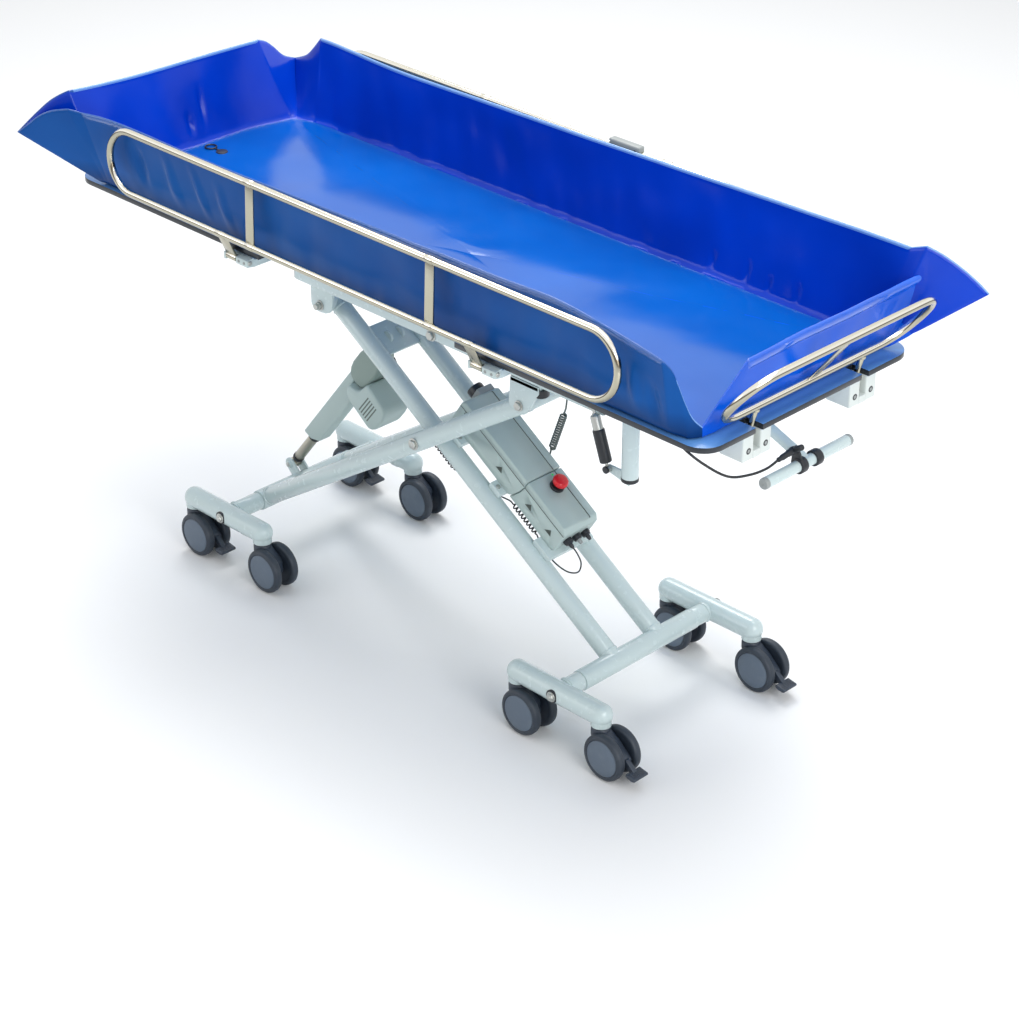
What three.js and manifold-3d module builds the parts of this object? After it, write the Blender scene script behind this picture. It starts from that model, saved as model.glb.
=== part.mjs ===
// Shower trolley: two castered bases, a scissor lift, a tilting bed with a soft tub and four rails.
// Row frame in millimetres: +Z up, floor at zero, X along the bed, -Y the near side.
import * as THREE from "three";
import { mergeVertices } from "three/examples/jsm/utils/BufferGeometryUtils.js";
import Module from "manifold-3d";

const wasm = await Module();
wasm.setup();

// Overall layout
const scissorX = -27;
const halfSpan = 605;
const lowPivotZ = 148;
const midPivotZ = 545;
const upperArm = 441;

// Clearances
const touch = 0.3;
const pinPlay = 0.5;
const slidePlay = 1;
const over = 1;

// Base
const stemOffset = 136;
const trackHalf = 270;
const footRadius = 28;
const footSides = 12;
const footCapSteps = 2;
const socketRadius = 25;
const socketFloorZ = 120;
const stubRadius = 24;
const axleRadius = 15;
const boltRadius = 6;
const boltHeadRadius = 13;
const boltHeadThick = 9;
const hexSides = 6;

// Casters
const wheelRadius = 59.5;
const wheelHalfGauge = 28.5;
const wheelHalfWidth = 11.5;
const wheelSides = 16;
const wheelGap = 1.5;
const discGap = 0.8;
const wheelReach = 80;
const tyreBevel = 4.5;
const wheelAxleRadius = 6;
const casterTrail = 38;
const forkHalfWidth = 15.5;
const forkTail = 26;
const neckRadius = 24;
const neckHeight = 28;
const stemRadius = 5.5;
const stemLength = 24;
const pedalPivotX = 78;
const pedalPivotZ = 56;
const pedalHalfWidth = 24;
const pedalTongueHalf = 7;
const pedalEyeRadius = 8;
const pedalPinRadius = 3;
const pedalPlay = 0.8;
const pedalReach = 54;
const pedalSlotBack = 11;
const pedalSlotFront = 20;
const pedalSlotLow = 20;
const pedalSlotHigh = 100;
const forkTailOver = 6;

// Scissor arms
const innerY = 78;
const outerY = 139;
const armRadius = 24;
const rightSleeveRadius = 26;
const rightSleeveHalf = 200;
const leftSleeveRadius = 27;
const leftSleeveHalf = 164;
const midPinRadius = 8;
const midPinHeadRadius = 14;
const collarRadius = 17;
const headThick = 9;
const outerTopRadius = 22;
const topPinRadius = 9;
const topPinHeadRadius = 13;
const innerTopOver = 6;
const innerHeadReach = 22;
const crossplateStart = -335;
const crossplateEnd = -243;
const plateThick = 8;
const crossEarHalf = 24;

// Actuator, in the inner arm frame: u down to the right, v up to the right
const upperPinU = -289;
const upperPinV = -35;
const lowerPinX = -645;
const lowerPinZ = 188;
const earHalfGap = 12.5;
const earThick = 6;
const earRadius = 17;
const earBossRadius = 10;
const earBossThick = 6;
const eyeRadius = 14;
const eyeHalf = 15;
const neckDrop = 34;
const actuatorPinRadius = 6;
const coverHalfY = 30;
const coverReach = 40;
const coverLength = 172;
const motorHalfY = 44;
const motorReach = 138;
const motorLength = 216;
const strokeTubeHalfX = 27;
const strokeTubeHalfY = 20;
const strokeTubeEnd = 482;
const strokeBoreRadius = 14.6;
const strokeBoreStart = 190;
const rodRadius = 14;
const rodStart = 330;
const rodEndGap = 24;
const rodTongueHalfX = 10;
const rodTongueHalfY = 9;
const rodTongueNear = 4;
const rodTongueFar = 26;

// Boxes on the inner arms, in the inner arm frame
const boxBottomV = 40;
const boxTopV = 128;
const boxHalfY = 58;
const boxSeamU = 262;
const boxStartU = -3;
const boxEndU = 421;
const seamGap = 1;
const seamFootBack = 22;
const seamKneeBack = 8;
const seamKneeRise = 30;
const seamTopDrop = 24;
const boxChamfer = 10;
const batteryFeetU = [30, 190];
const batteryFootLong = 40;
const bracketBack = 50;
const bracketFront = 12;
const plugRadius = 12;
const plugHalfGauge = 30;
const plugV = 80;
const plugIn = 2;
const plugOut = 14;
const stopU = 303;
const stopY = 8;
const stopBaseRadius = 19;
const stopBaseHigh = 8;
const stopStemRadius = 9;
const stopStemStart = -5;
const stopWellDeep = 12;
const stopHeadRadius = 20;
const stopHeadLow = 14;
const stopHeadHigh = 33;
const displayThick = 14;
const displayY = [2, 52];
const displayV = [64, 122];
const knobY = 24;
const knobV = 92;
const knobRadius = 22;
const knobReach = 34;

// Upper frame
const railY = 150;
const railTube = 40;
const railBottomZ = 856;
const railStartX = -445;
const railEndX = 608;
const crossInset = 4;
const crossWide = 40;
const crossShy = 5;
const lugY = 126;
const lugHalf = 4;
const lugDrop = 20;
const tiltX = 48;
const tiltZ = 868;
const tiltPinRadius = 8;
const tiltHeadRadius = 13;
const tiltPinIn = 12;

// Sliders
const sliderPlateThick = 6;
const shoeThick = 12;
const shoeBack = 30;
const shoeFront = 62;
const shoeLip = 18;
const cheekDrop = 21;
const bufferX = 52;
const bufferRadius = 20;
const bufferDrop = 30;
const bufferSink = 8;

// Board and bed frame
const boardBottomZ = 993;
const boardThick = 14;
const boardHalfX = 1070;
const boardHalfY = 355;
const boardCorner = 55;
const cornerSteps = 5;
const recessDepth = 50;
const recessStartX = -357;
const recessEndX = 318;
const notchHalf = 12;
const notchIn = 14;
const boardDrain = 14;
const bedTubeY = 200;
const bedTubeInset = 54;
const bedTubeBottomZ = boardBottomZ - railTube;
const bedCrossShy = 6;
const leftCrossInset = 110;
const innerCrossX = -448;
const bedCrossHalf = 20;
const postCrossHalf = 22;
const tiltLugHalf = 44;
const tiltLugSink = 8;
const tiltLugDrop = 15;
const tiltLugThick = 8;
const tiltLugGap = 2.5;
const postX = 708;
const postY = 185;
const postRadius = 20;
const postBottomZ = 735;
const postSink = 10;

// Gas spring
const studX = 589;
const studZ = 884;
const springPinX = 640;
const springPinZ = 740;
const springEyeHalf = 4;
const springPinRadius = 4.5;
const springPinOver = 2;
const springHeadThick = 4;
const springFootHeadRadius = 9;
const springEyeRadius = 9;
const springTopEyeRadius = 12;
const springTopPlay = 3.6;
const springNeckStart = 5;
const springSleeveStart = 16;
const springSleeveEnd = 96;
const springSleeveRadius = 14.5;
const springBoreRadius = 12.6;
const springBoreStart = 22;
const springRodRadius = 12;
const springRodStart = 72;
const springRodGap = 10;
const springBracketThick = 6;

// Rails
const railRadius = 9;
const railSides = 8;
const quarterTurn = 90;
const bendSteps = 6;
const sideRailLeftInset = 205;
const sideRailRightInset = 215;
const sideLowOut = 43;
const sideLowRise = 56;
const sideHighOut = 37;
const sideHighRise = 216;
const sideHingeOut = 11;
const sideHingeDrop = 12;
const sideBars = [-333, 282];
const sideLegs = [-439, 406];
const legHalf = 17.5;
const barFlatHalf = 14;
const barThick = 5;
const endLowInset = 12;
const endHighOut = 94;
const endLowRise = 57;
const endHighRise = 193;
const endRailInset = 30;
const endHingeInset = 34;
const endHingeDrop = 31;
const endPostY = 180;
const endPostRadius = 7;
const hingeEyeRadius = 9;
const hingePinRadius = 5;
const hingePinOver = 4;
const blockPlay = 1;
const blockBack = 16;
const blockFront = 8;
const blockDrop = 14;
const blockRise = 10;
const blockBody = 6;
const cheekThick = 7;
const blockLong = 44;
const endBlockHalf = 46;
const endBlockIn = 38;
const endBlockOut = 30;
const endBlockDrop = 62;
const endSlotHalf = 11;
const endPinReach = 20;

// Push handle and release lever
const barInset = 8;
const barZ = 850;
const barRadius = 13.5;
const barHalf = 149;
const barCollarRadius = 19;
const barCollars = [[-34, -14], [18, 38]];
const stemShy = 0.5;
const stemTopDrop = 15;
const stemCutReach = 40;
const leverBack = 9;
const leverPivotZ = 889;
const leverPlateY = [-32, -26];
const leverPinRadius = 4;
const leverPinY = [-40, -29];
const leverHubY = [-46, -34];
const leverHubRadius = 9;
const leverY = -40;
const leverGripY = -96;
const leverGripRadius = 8;
const leverGripRise = -2;
const leverGripAcross = 4;
const leverTabRadius = 7;
const leverTabReach = 26;
const leverTabRise = 18;
const pullCableRadius = 3;
const pullCableSteps = 14;
const pullCableSides = 6;

// Liner and drain
const linerThick = 4;
const linerFloorZ = boardBottomZ + boardThick + touch + linerThick;
const tubHeight = 220;
const drainInset = 159;
const drainY = -3;
const drainHole = 12;
const drainPlay = 0.6;
const drainDeep = 20;
const plugCapRadius = 16;
const plugCapThick = 4;
const plugSinkZ = 4;
const tongueNear = 10;
const tongueFar = 30;
const tongueHalf = 2;
const loopReach = 44;
const loopRadius = 15;
const loopWireRadius = 2;
const loopLift = 3;
const loopSteps = 12;
const loopSides = 6;

// Places that follow from the sizes
const liftAngle = Math.atan2(midPivotZ - lowPivotZ, halfSpan);
const armCos = Math.cos(liftAngle);
const armSin = Math.sin(liftAngle);
const rightPivot = [scissorX + halfSpan, lowPivotZ];
const leftPivot = [scissorX - halfSpan, lowPivotZ];
const middle = [scissorX, midPivotZ];
const topLeft = [scissorX - upperArm * armCos, midPivotZ + upperArm * armSin];
const topRight = [scissorX + upperArm * armCos, midPivotZ + upperArm * armSin];
const armPoint = (u, v) => [scissorX + u * armCos + v * armSin, midPivotZ - u * armSin + v * armCos];
const upperPin = armPoint(upperPinU, upperPinV);
const lowerPin = [scissorX + lowerPinX, lowerPinZ];
const actuatorLength = Math.hypot(upperPin[0] - lowerPin[0], upperPin[1] - lowerPin[1]);
const actuatorLean = Math.atan2(upperPin[0] - lowerPin[0], upperPin[1] - lowerPin[1]);
const springLean = Math.atan2(studX - springPinX, studZ - springPinZ);
const springLength = Math.hypot(studX - springPinX, studZ - springPinZ);
const outerFace = railY + railTube / 2;
const innerFace = railY - railTube / 2;
const endHingeX = boardHalfX - endHingeInset;
const endHalfY = boardHalfY - endRailInset;
const sideLowY = boardHalfY + sideLowOut;
const sideHighY = boardHalfY + sideHighOut;
const sideHingeY = boardHalfY + sideHingeOut;
const sideLowZ = boardBottomZ + sideLowRise;
const sideHighZ = boardBottomZ + sideHighRise;
const sideHingeZ = boardBottomZ - sideHingeDrop;
const endLowZ = boardBottomZ + endLowRise;
const endHighZ = boardBottomZ + endHighRise;
const endHingeZ = boardBottomZ - endHingeDrop;
const barX = boardHalfX - barInset;
const leverPivotX = barX - leverBack;
const drainX = drainInset - boardHalfX;

// Solids
const weldShare = 0.0001;
function solid(geometry) {
  const plain = geometry.clone();
  for (const name of ["normal", "uv"]) plain.deleteAttribute(name);
  const merged = mergeVertices(plain, weldShare);
  return new wasm.Manifold(new wasm.Mesh({
    numProp: 3,
    vertProperties: new Float32Array(merged.attributes.position.array),
    triVerts: new Uint32Array(merged.index.array),
  }));
}

function union(parts) {
  return parts.reduce((whole, part) => whole.add(part));
}

function cut(body, tools) {
  return tools.reduce((whole, tool) => whole.subtract(tool), body);
}

// Block between two corners, given in any order
function box(x0, x1, y0, y1, z0, z1) {
  const geometry = new THREE.BoxGeometry(Math.abs(x1 - x0), Math.abs(y1 - y0), Math.abs(z1 - z0));
  return solid(geometry.translate((x0 + x1) / 2, (y0 + y1) / 2, (z0 + z1) / 2));
}

const smallRound = 9;
const largeRound = 20;
function sidesFor(radius) {
  if (radius < smallRound) return 8;
  return radius < largeRound ? 12 : 16;
}

function rodBetween(start, end, radius, sides = sidesFor(radius)) {
  const from = new THREE.Vector3(...start);
  const to = new THREE.Vector3(...end);
  const geometry = new THREE.CylinderGeometry(radius, radius, from.distanceTo(to), sides);
  const turn = new THREE.Quaternion().setFromUnitVectors(
    new THREE.Vector3(0, 1, 0), to.clone().sub(from).normalize());
  geometry.applyQuaternion(turn);
  const centre = from.add(to).multiplyScalar(0.5);
  return solid(geometry.translate(centre.x, centre.y, centre.z));
}

function crossRod([x, z], y0, y1, radius, sides = sidesFor(radius)) {
  return rodBetween([x, y0, z], [x, y1, z], radius, sides);
}

function upright(x, y, z0, z1, radius, sides = sidesFor(radius)) {
  return rodBetween([x, y, z0], [x, y, z1], radius, sides);
}

// Radius of a hole that a round of this radius turns in, both being faceted
function bore(radius) {
  return (radius + touch) / Math.cos(Math.PI / sidesFor(radius));
}

// Outline points from shares of a reach in each direction, about a centre
function outlineFrom(shares, [x, z], reachX, reachZ = reachX) {
  return shares.map(([across, up]) => [x + across * reachX, z + up * reachZ]);
}

// Flat outline in the X-Z plane given a thickness along Y
function sidePlate(points, yA, yB) {
  const shape = new THREE.Shape(points.map(([x, z]) => new THREE.Vector2(x, z)));
  const geometry = new THREE.ExtrudeGeometry(shape, { depth: Math.abs(yB - yA), bevelEnabled: false });
  return solid(geometry.rotateX(Math.PI / 2).translate(0, Math.max(yA, yB), 0));
}

// Flat outline in the Y-Z plane given a thickness along X
function endPlate(points, x0, x1) {
  const shape = new THREE.Shape(points.map(([y, z]) => new THREE.Vector2(y, z)));
  const geometry = new THREE.ExtrudeGeometry(shape, { depth: x1 - x0, bevelEnabled: false });
  return solid(geometry.rotateX(Math.PI / 2).rotateZ(Math.PI / 2).translate(x0, 0, 0));
}

// Straight strap with round ends between two points of a plane
const strapSteps = 6;
function strap([ax, az], [bx, bz], radius, y0, y1) {
  const lean = Math.atan2(bz - az, bx - ax);
  const points = [];
  for (const [cx, cz, side] of [[bx, bz, -1], [ax, az, 1]]) {
    for (let step = 0; step <= strapSteps; step += 1) {
      const angle = lean + side * Math.PI / 2 + Math.PI * step / strapSteps;
      points.push([cx + radius * Math.cos(angle), cz + radius * Math.sin(angle)]);
    }
  }
  return sidePlate(points, y0, y1);
}

// Tube swept along points; a closed path needs no caps
const steepShare = 0.9;
const leastMitreShare = 0.7;
function sweptTube(points, radius, sides, closed = false) {
  const path = points.map((point) => new THREE.Vector3(...point));
  const count = path.length;
  const positions = [];
  const indices = [];
  let normal = null;
  for (let at = 0; at < count; at += 1) {
    const before = path[closed ? (at + count - 1) % count : Math.max(at - 1, 0)];
    const after = path[closed ? (at + 1) % count : Math.min(at + 1, count - 1)];
    const along = after.clone().sub(before).normalize();
    if (!normal) {
      const steep = Math.abs(along.z) >= steepShare;
      const helper = steep ? new THREE.Vector3(1, 0, 0) : new THREE.Vector3(0, 0, 1);
      normal = helper.clone().cross(along).normalize();
    }
    normal = normal.clone().addScaledVector(along, -normal.dot(along)).normalize();
    const side = along.clone().cross(normal);
    const into = path[at].clone().sub(before).normalize();
    const stretch = into.lengthSq() > 0 ? 1 / Math.max(into.dot(along), leastMitreShare) : 1;
    const across = into.clone().addScaledVector(along, -into.dot(along)).normalize();
    for (let turn = 0; turn < sides; turn += 1) {
      const angle = 2 * Math.PI * turn / sides;
      const offset = normal.clone().multiplyScalar(radius * Math.cos(angle))
        .addScaledVector(side, radius * Math.sin(angle));
      offset.addScaledVector(across, offset.dot(across) * (stretch - 1));
      const spot = path[at].clone().add(offset);
      positions.push(spot.x, spot.y, spot.z);
    }
  }
  const shift = closed ? closingShift(positions, sides, count) : 0;
  for (let at = 0; at < (closed ? count : count - 1); at += 1) {
    const last = closed && at === count - 1;
    for (let turn = 0; turn < sides; turn += 1) {
      const next = (turn + 1) % sides;
      const a = at * sides + turn;
      const b = at * sides + next;
      const c = last ? (turn + shift) % sides : a + sides;
      const d = last ? (next + shift) % sides : (at + 1) * sides + next;
      indices.push(a, b, d, a, d, c);
    }
  }
  if (!closed) {
    const end = (count - 1) * sides;
    for (let turn = 1; turn < sides - 1; turn += 1) {
      indices.push(0, turn + 1, turn, end, end + turn, end + turn + 1);
    }
  }
  return outward(positions, indices);
}

// How far the last ring is turned against the first
function closingShift(positions, sides, count) {
  const last = (count - 1) * sides * 3;
  const gaps = Array.from({ length: sides }, (_, shift) => [0, 1, 2].reduce((sum, axis) =>
    sum + (positions[last + axis] - positions[shift * 3 + axis]) ** 2, 0));
  return gaps.indexOf(Math.min(...gaps));
}

// Closed body from points and triangles, turned outside out if it came inside out
function outward(positions, indices) {
  const geometry = new THREE.BufferGeometry();
  geometry.setAttribute("position", new THREE.Float32BufferAttribute(positions, 3));
  geometry.setIndex(indices);
  const body = solid(geometry);
  if (body.volume() > 0) return body;
  for (let at = 0; at < indices.length; at += 3) {
    [indices[at + 1], indices[at + 2]] = [indices[at + 2], indices[at + 1]];
  }
  geometry.setIndex(indices);
  return solid(geometry);
}

// Pieces moved from the arm, actuator or gas spring frame into the row frame
function placed(body, lean, [x, z], y = 0) {
  return body.rotate([0, THREE.MathUtils.radToDeg(lean), 0]).translate([x, y, z]);
}

const onArm = (body) => placed(body, liftAngle, middle);
const onActuator = (body) => placed(body, actuatorLean, upperPin);
const onSpring = (body) => placed(body, springLean, [springPinX, springPinZ], -postY);

const group = new THREE.Group();
const paints = {
  frame: new THREE.MeshStandardMaterial({ color: 0xd5e2e0, metalness: 0.1, roughness: 0.4 }),
  steel: new THREE.MeshStandardMaterial({ color: 0xb9bcb8, metalness: 0.9, roughness: 0.3 }),
  dark: new THREE.MeshStandardMaterial({ color: 0x232b33, metalness: 0.0, roughness: 0.6 }),
  wheel: new THREE.MeshStandardMaterial({ color: 0x36454f, metalness: 0.0, roughness: 0.5 }),
  casing: new THREE.MeshStandardMaterial({ color: 0xa9bcbb, metalness: 0.0, roughness: 0.5 }),
  cover: new THREE.MeshStandardMaterial({ color: 0x8d918a, metalness: 0.0, roughness: 0.6 }),
  board: new THREE.MeshStandardMaterial({ color: 0x3c6eb4, metalness: 0.0, roughness: 0.4 }),
  liner: new THREE.MeshStandardMaterial({ color: 0x1450c8, metalness: 0.0, roughness: 0.4 }),
  red: new THREE.MeshStandardMaterial({ color: 0xc81e28, metalness: 0.0, roughness: 0.4 }),
};

function add(name, body, paint) {
  const mesh = body.getMesh();
  const geometry = new THREE.BufferGeometry();
  geometry.setAttribute("position", new THREE.BufferAttribute(new Float32Array(mesh.vertProperties), 3));
  geometry.setIndex(new THREE.BufferAttribute(new Uint32Array(mesh.triVerts), 1));
  geometry.computeVertexNormals();
  const piece = new THREE.Mesh(geometry, paints[paint]);
  piece.name = name;
  group.add(piece);
}

// One base: two capsule feet, the axle between them, and four casters
const stations = [
  { name: "left", pivot: leftPivot, sleeveHalf: leftSleeveHalf, outward: -1 },
  { name: "right", pivot: rightPivot, sleeveHalf: rightSleeveHalf, outward: 1 },
];

function foot(x, side, sleeveHalf) {
  const y = side * trackHalf;
  const capsule = new THREE.CapsuleGeometry(footRadius, 2 * stemOffset, footCapSteps, footSides);
  const bodies = [
    solid(capsule.rotateZ(Math.PI / 2).translate(x, y, lowPivotZ)),
    crossRod([x, lowPivotZ], y, side * (sleeveHalf + slidePlay), stubRadius),
  ];
  const holes = [
    crossRod([x, lowPivotZ], 0, side * (trackHalf - footRadius / 2), bore(axleRadius)),
    crossRod([x, lowPivotZ], 0, side * (trackHalf + 2 * footRadius), bore(boltRadius)),
  ];
  for (const way of [-1, 1]) {
    const stemX = x + way * stemOffset;
    bodies.push(upright(stemX, y, socketFloorZ, lowPivotZ, socketRadius));
    holes.push(upright(stemX, y, 0, socketFloorZ + stemLength + over, bore(stemRadius)));
  }
  return cut(union(bodies), holes);
}

function axle(x) {
  const reach = trackHalf - footRadius / 2 - touch;
  const headStart = trackHalf + footRadius + touch;
  const pivot = [x, lowPivotZ];
  const heads = [-1, 1].map((side) =>
    crossRod(pivot, side * headStart, side * (headStart + boltHeadThick), boltHeadRadius, hexSides));
  return union([
    crossRod(pivot, -reach, reach, axleRadius),
    crossRod(pivot, -headStart - over, headStart + over, boltRadius),
    ...heads,
  ]);
}

function wheelPair() {
  const inside = wheelHalfGauge - wheelHalfWidth;
  const outside = wheelHalfGauge + wheelHalfWidth;
  const half = [
    [0, outside], [wheelRadius - tyreBevel, outside], [wheelRadius, outside - tyreBevel],
    [wheelRadius, inside], [wheelAxleRadius, inside],
  ];
  const mirrored = half.map(([radius, height]) => [radius, -height]);
  const profile = [...mirrored, ...half.reverse()].map((point) => new THREE.Vector2(...point));
  return solid(new THREE.LatheGeometry(profile, wheelSides));
}

// Fork outline in shares of the wheel radius, from the neck round the front; the tail's reach differs
const forkFrontShares = [[-0.37, 1.882], [-0.303, 1.445], [0.034, 0.773], [0.336, 0.571], [0.84, 0.571]];
const forkTailShares = [0.807, 1.109];
const forkNapeShares = [[1.042, 1.412], [0.773, 1.647], [0.387, 1.815], [0.387, 2], [-0.37, 2]];
function forkOutline(hasPedal) {
  const tail = hasPedal ? pedalPivotX + forkTailOver : casterTrail + forkTail;
  return [
    ...outlineFrom(forkFrontShares, [0, 0], wheelRadius),
    ...forkTailShares.map((share) => [tail, share * wheelRadius]),
    ...outlineFrom(forkNapeShares, [0, 0], wheelRadius),
  ];
}

function fork(hasPedal) {
  const neckTop = socketFloorZ - pinPlay;
  const wheelCentre = [casterTrail, wheelRadius];
  const pieces = [
    sidePlate(forkOutline(hasPedal), -forkHalfWidth, forkHalfWidth),
    upright(0, 0, neckTop - neckHeight, neckTop, neckRadius),
    upright(0, 0, neckTop - over, socketFloorZ + stemLength, stemRadius),
  ];
  const holes = [crossRod(wheelCentre, -neckRadius, neckRadius, bore(wheelAxleRadius))];
  for (const side of [-1, 1]) {
    holes.push(crossRod(wheelCentre, side * (forkHalfWidth + discGap), side * wheelReach,
      wheelRadius + wheelGap));
  }
  if (hasPedal) {
    const slot = pedalTongueHalf + pedalPlay;
    holes.push(box(pedalPivotX - pedalSlotBack, pedalPivotX + pedalSlotFront, -slot, slot,
      pedalSlotLow, pedalSlotHigh));
    holes.push(crossRod([pedalPivotX, pedalPivotZ], -neckRadius, neckRadius, bore(pedalPinRadius)));
  }
  return cut(union(pieces), holes);
}

// Pedal outlines in shares of its reach, about its pivot
const tongueShares = [[-0.074, -0.111], [0.111, -0.222], [0.481, -0.481], [0.704, -0.481], [0.63, -0.296],
  [0.111, 0.13], [0, 0.148]];
const treadShares = [[0.426, -0.444], [0.852, -0.537], [1, -0.481], [0.981, -0.333], [0.481, -0.259]];
function pedal() {
  const pivot = [pedalPivotX, pedalPivotZ];
  return union([
    crossRod(pivot, -pedalTongueHalf, pedalTongueHalf, pedalEyeRadius),
    crossRod(pivot, -forkHalfWidth, forkHalfWidth, pedalPinRadius),
    sidePlate(outlineFrom(tongueShares, pivot, pedalReach), -pedalTongueHalf, pedalTongueHalf),
    sidePlate(outlineFrom(treadShares, pivot, pedalReach), -pedalHalfWidth, pedalHalfWidth),
  ]);
}

for (const { name, pivot, sleeveHalf, outward: away } of stations) {
  for (const [where, side] of [["near", -1], ["far", 1]]) {
    add(`${name}_foot_${where}`, foot(pivot[0], side, sleeveHalf), "frame");
    for (const [end, way, hasPedal] of [["outer", away, true], ["inner", -away, false]]) {
      const label = `${name}_${end}_${where}`;
      const at = [pivot[0] + way * stemOffset, side * trackHalf, 0];
      add(`${label}_fork`, fork(hasPedal).translate(at), "dark");
      add(`${label}_wheels`, wheelPair().translate([at[0] + casterTrail, at[1], wheelRadius]), "wheel");
      if (hasPedal) add(`${label}_pedal`, pedal().translate(at), "dark");
    }
  }
  add(`${name}_axle`, axle(pivot[0]), "steel");
}

// Inner arms: the pair that carries the boxes and the actuator's upper pin
function rightCrossTube() {
  return cut(crossRod(rightPivot, -rightSleeveHalf, rightSleeveHalf, rightSleeveRadius), [
    crossRod(rightPivot, -rightSleeveHalf - over, rightSleeveHalf + over, bore(axleRadius))]);
}

function innerArm(side) {
  const y = side * innerY;
  const outerTubeFace = outerY - armRadius;
  const headStart = outerY + armRadius + pinPlay;
  const bodies = [
    rodBetween([rightPivot[0], y, rightPivot[1]], [topLeft[0], y, topLeft[1]], armRadius),
    crossRod(middle, y, side * (outerTubeFace - pinPlay), collarRadius),
    crossRod(middle, y, side * (headStart + over), midPinRadius),
    crossRod(middle, side * headStart, side * (outerY + armRadius + headThick), midPinHeadRadius, hexSides),
  ];
  return cut(union(bodies), [
    crossRod(rightPivot, -rightSleeveHalf, rightSleeveHalf, bore(rightSleeveRadius)),
    crossRod(topLeft, -rightSleeveHalf, rightSleeveHalf, bore(armRadius)),
  ]);
}

// Cross tube on the arms' upper ends, with a pin and a head beyond each lug
function topTube([x, z], half, radius, lugEnd, headEnd) {
  const pieces = [crossRod([x, z], -half, half, radius)];
  for (const side of [-1, 1]) {
    pieces.push(crossRod([x, z], side * (half - over), side * (lugEnd + pinPlay + over), topPinRadius));
    pieces.push(crossRod([x, z], side * (lugEnd + pinPlay), side * headEnd, topPinHeadRadius));
  }
  return union(pieces);
}

function crossplate() {
  const halfY = innerY - armRadius - touch;
  const ear = (y0, y1) => cut(strap([upperPinU, 0], [upperPinU, upperPinV], earRadius, y0, y1), [
    crossRod([upperPinU, upperPinV], y0 - over, y1 + over, bore(actuatorPinRadius))]);
  return onArm(union([
    box(crossplateStart, crossplateEnd, -halfY, halfY, -plateThick / 2, plateThick / 2),
    ear(-crossEarHalf, -crossEarHalf + plateThick),
    ear(crossEarHalf - plateThick, crossEarHalf),
  ]));
}

add("right_cross_tube", rightCrossTube(), "frame");
add("inner_arm_near", innerArm(-1), "frame");
add("inner_arm_far", innerArm(1), "frame");
add("inner_top_tube", topTube(topLeft, innerY + armRadius + innerTopOver, armRadius,
  lugY + lugHalf + pinPlay, lugY + innerHeadReach), "frame");
add("inner_crossplate", crossplate(), "frame");

// Outer arms: the pair that carries the actuator's lower pivot and the sliders
function outerArm(side) {
  const y = side * outerY;
  return cut(rodBetween([leftPivot[0], y, leftPivot[1]], [topRight[0], y, topRight[1]], armRadius), [
    crossRod(leftPivot, -rightSleeveHalf, rightSleeveHalf, bore(leftSleeveRadius)),
    crossRod(topRight, -rightSleeveHalf, rightSleeveHalf, bore(outerTopRadius)),
    crossRod(middle, -rightSleeveHalf, rightSleeveHalf, bore(midPinRadius)),
  ]);
}

function leftCrossTube() {
  const earFace = earHalfGap + earThick;
  const ear = (side) => union([
    strap(leftPivot, lowerPin, earRadius, side * earHalfGap, side * earFace),
    crossRod(lowerPin, side * earHalfGap, side * (earFace + earBossThick), earBossRadius),
  ]);
  return cut(union([
    crossRod(leftPivot, -leftSleeveHalf, leftSleeveHalf, leftSleeveRadius), ear(-1), ear(1)]), [
    crossRod(leftPivot, -leftSleeveHalf - over, leftSleeveHalf + over, bore(axleRadius))]);
}

const sliderPlateStart = outerY + armRadius + slidePlay;
const sliderPlateEnd = sliderPlateStart + sliderPlateThick;
add("left_cross_tube", leftCrossTube(), "frame");
add("outer_arm_near", outerArm(-1), "frame");
add("outer_arm_far", outerArm(1), "frame");
add("outer_top_tube", topTube(topRight, outerY + armRadius, outerTopRadius,
  sliderPlateEnd, sliderPlateEnd + headThick), "frame");

// Actuator outlines in shares of each part's reach across and along the stroke
const coverShares = [[-0.45, -0.128], [-0.5, -0.233], [-0.75, -0.302], [-0.85, -0.465], [-0.85, -0.756],
  [-0.7, -0.907], [-0.3, -1], [0.4, -1], [0.85, -0.919], [1, -0.698], [0.95, -0.407], [0.65, -0.279],
  [0.4, -0.198], [0.35, -0.116]];
const motorShares = [[0.2942, -0.5463], [0.87, -0.546], [0.957, -0.593], [1, -0.694], [1, -0.852],
  [0.957, -0.944], [0.87, -1], [0.217, -1], [0.058, -0.954], [0.014, -0.88], [0.014, -0.8148],
  [0.145, -0.8009], [0.2536, -0.7593], [0.2609, -0.6944]];
const strokeTubeShares = [[-1, -0.3589], [-1, -1], [0.074, -0.992], [1, -0.938], [1, -0.461],
  [-0.074, -0.444], [-0.074, -0.36]];

function actuatorBody() {
  return onActuator(union([
    sidePlate(outlineFrom(coverShares, [0, 0], coverReach, coverLength), -coverHalfY, coverHalfY),
    strap([0, -neckDrop], [0, 0], eyeRadius, -eyeHalf, eyeHalf),
    crossRod([0, 0], -crossEarHalf, crossEarHalf, actuatorPinRadius),
  ]));
}

function actuatorMotor() {
  const outline = outlineFrom(motorShares, [0, 0], motorReach, motorLength);
  return onActuator(sidePlate(outline, -motorHalfY, motorHalfY));
}

function actuatorTube() {
  const outline = outlineFrom(strokeTubeShares, [0, 0], strokeTubeHalfX, strokeTubeEnd);
  return onActuator(cut(sidePlate(outline, -strokeTubeHalfY, strokeTubeHalfY), [
    rodBetween([0, 0, -strokeBoreStart], [0, 0, -strokeTubeEnd - over], strokeBoreRadius)]));
}

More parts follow.
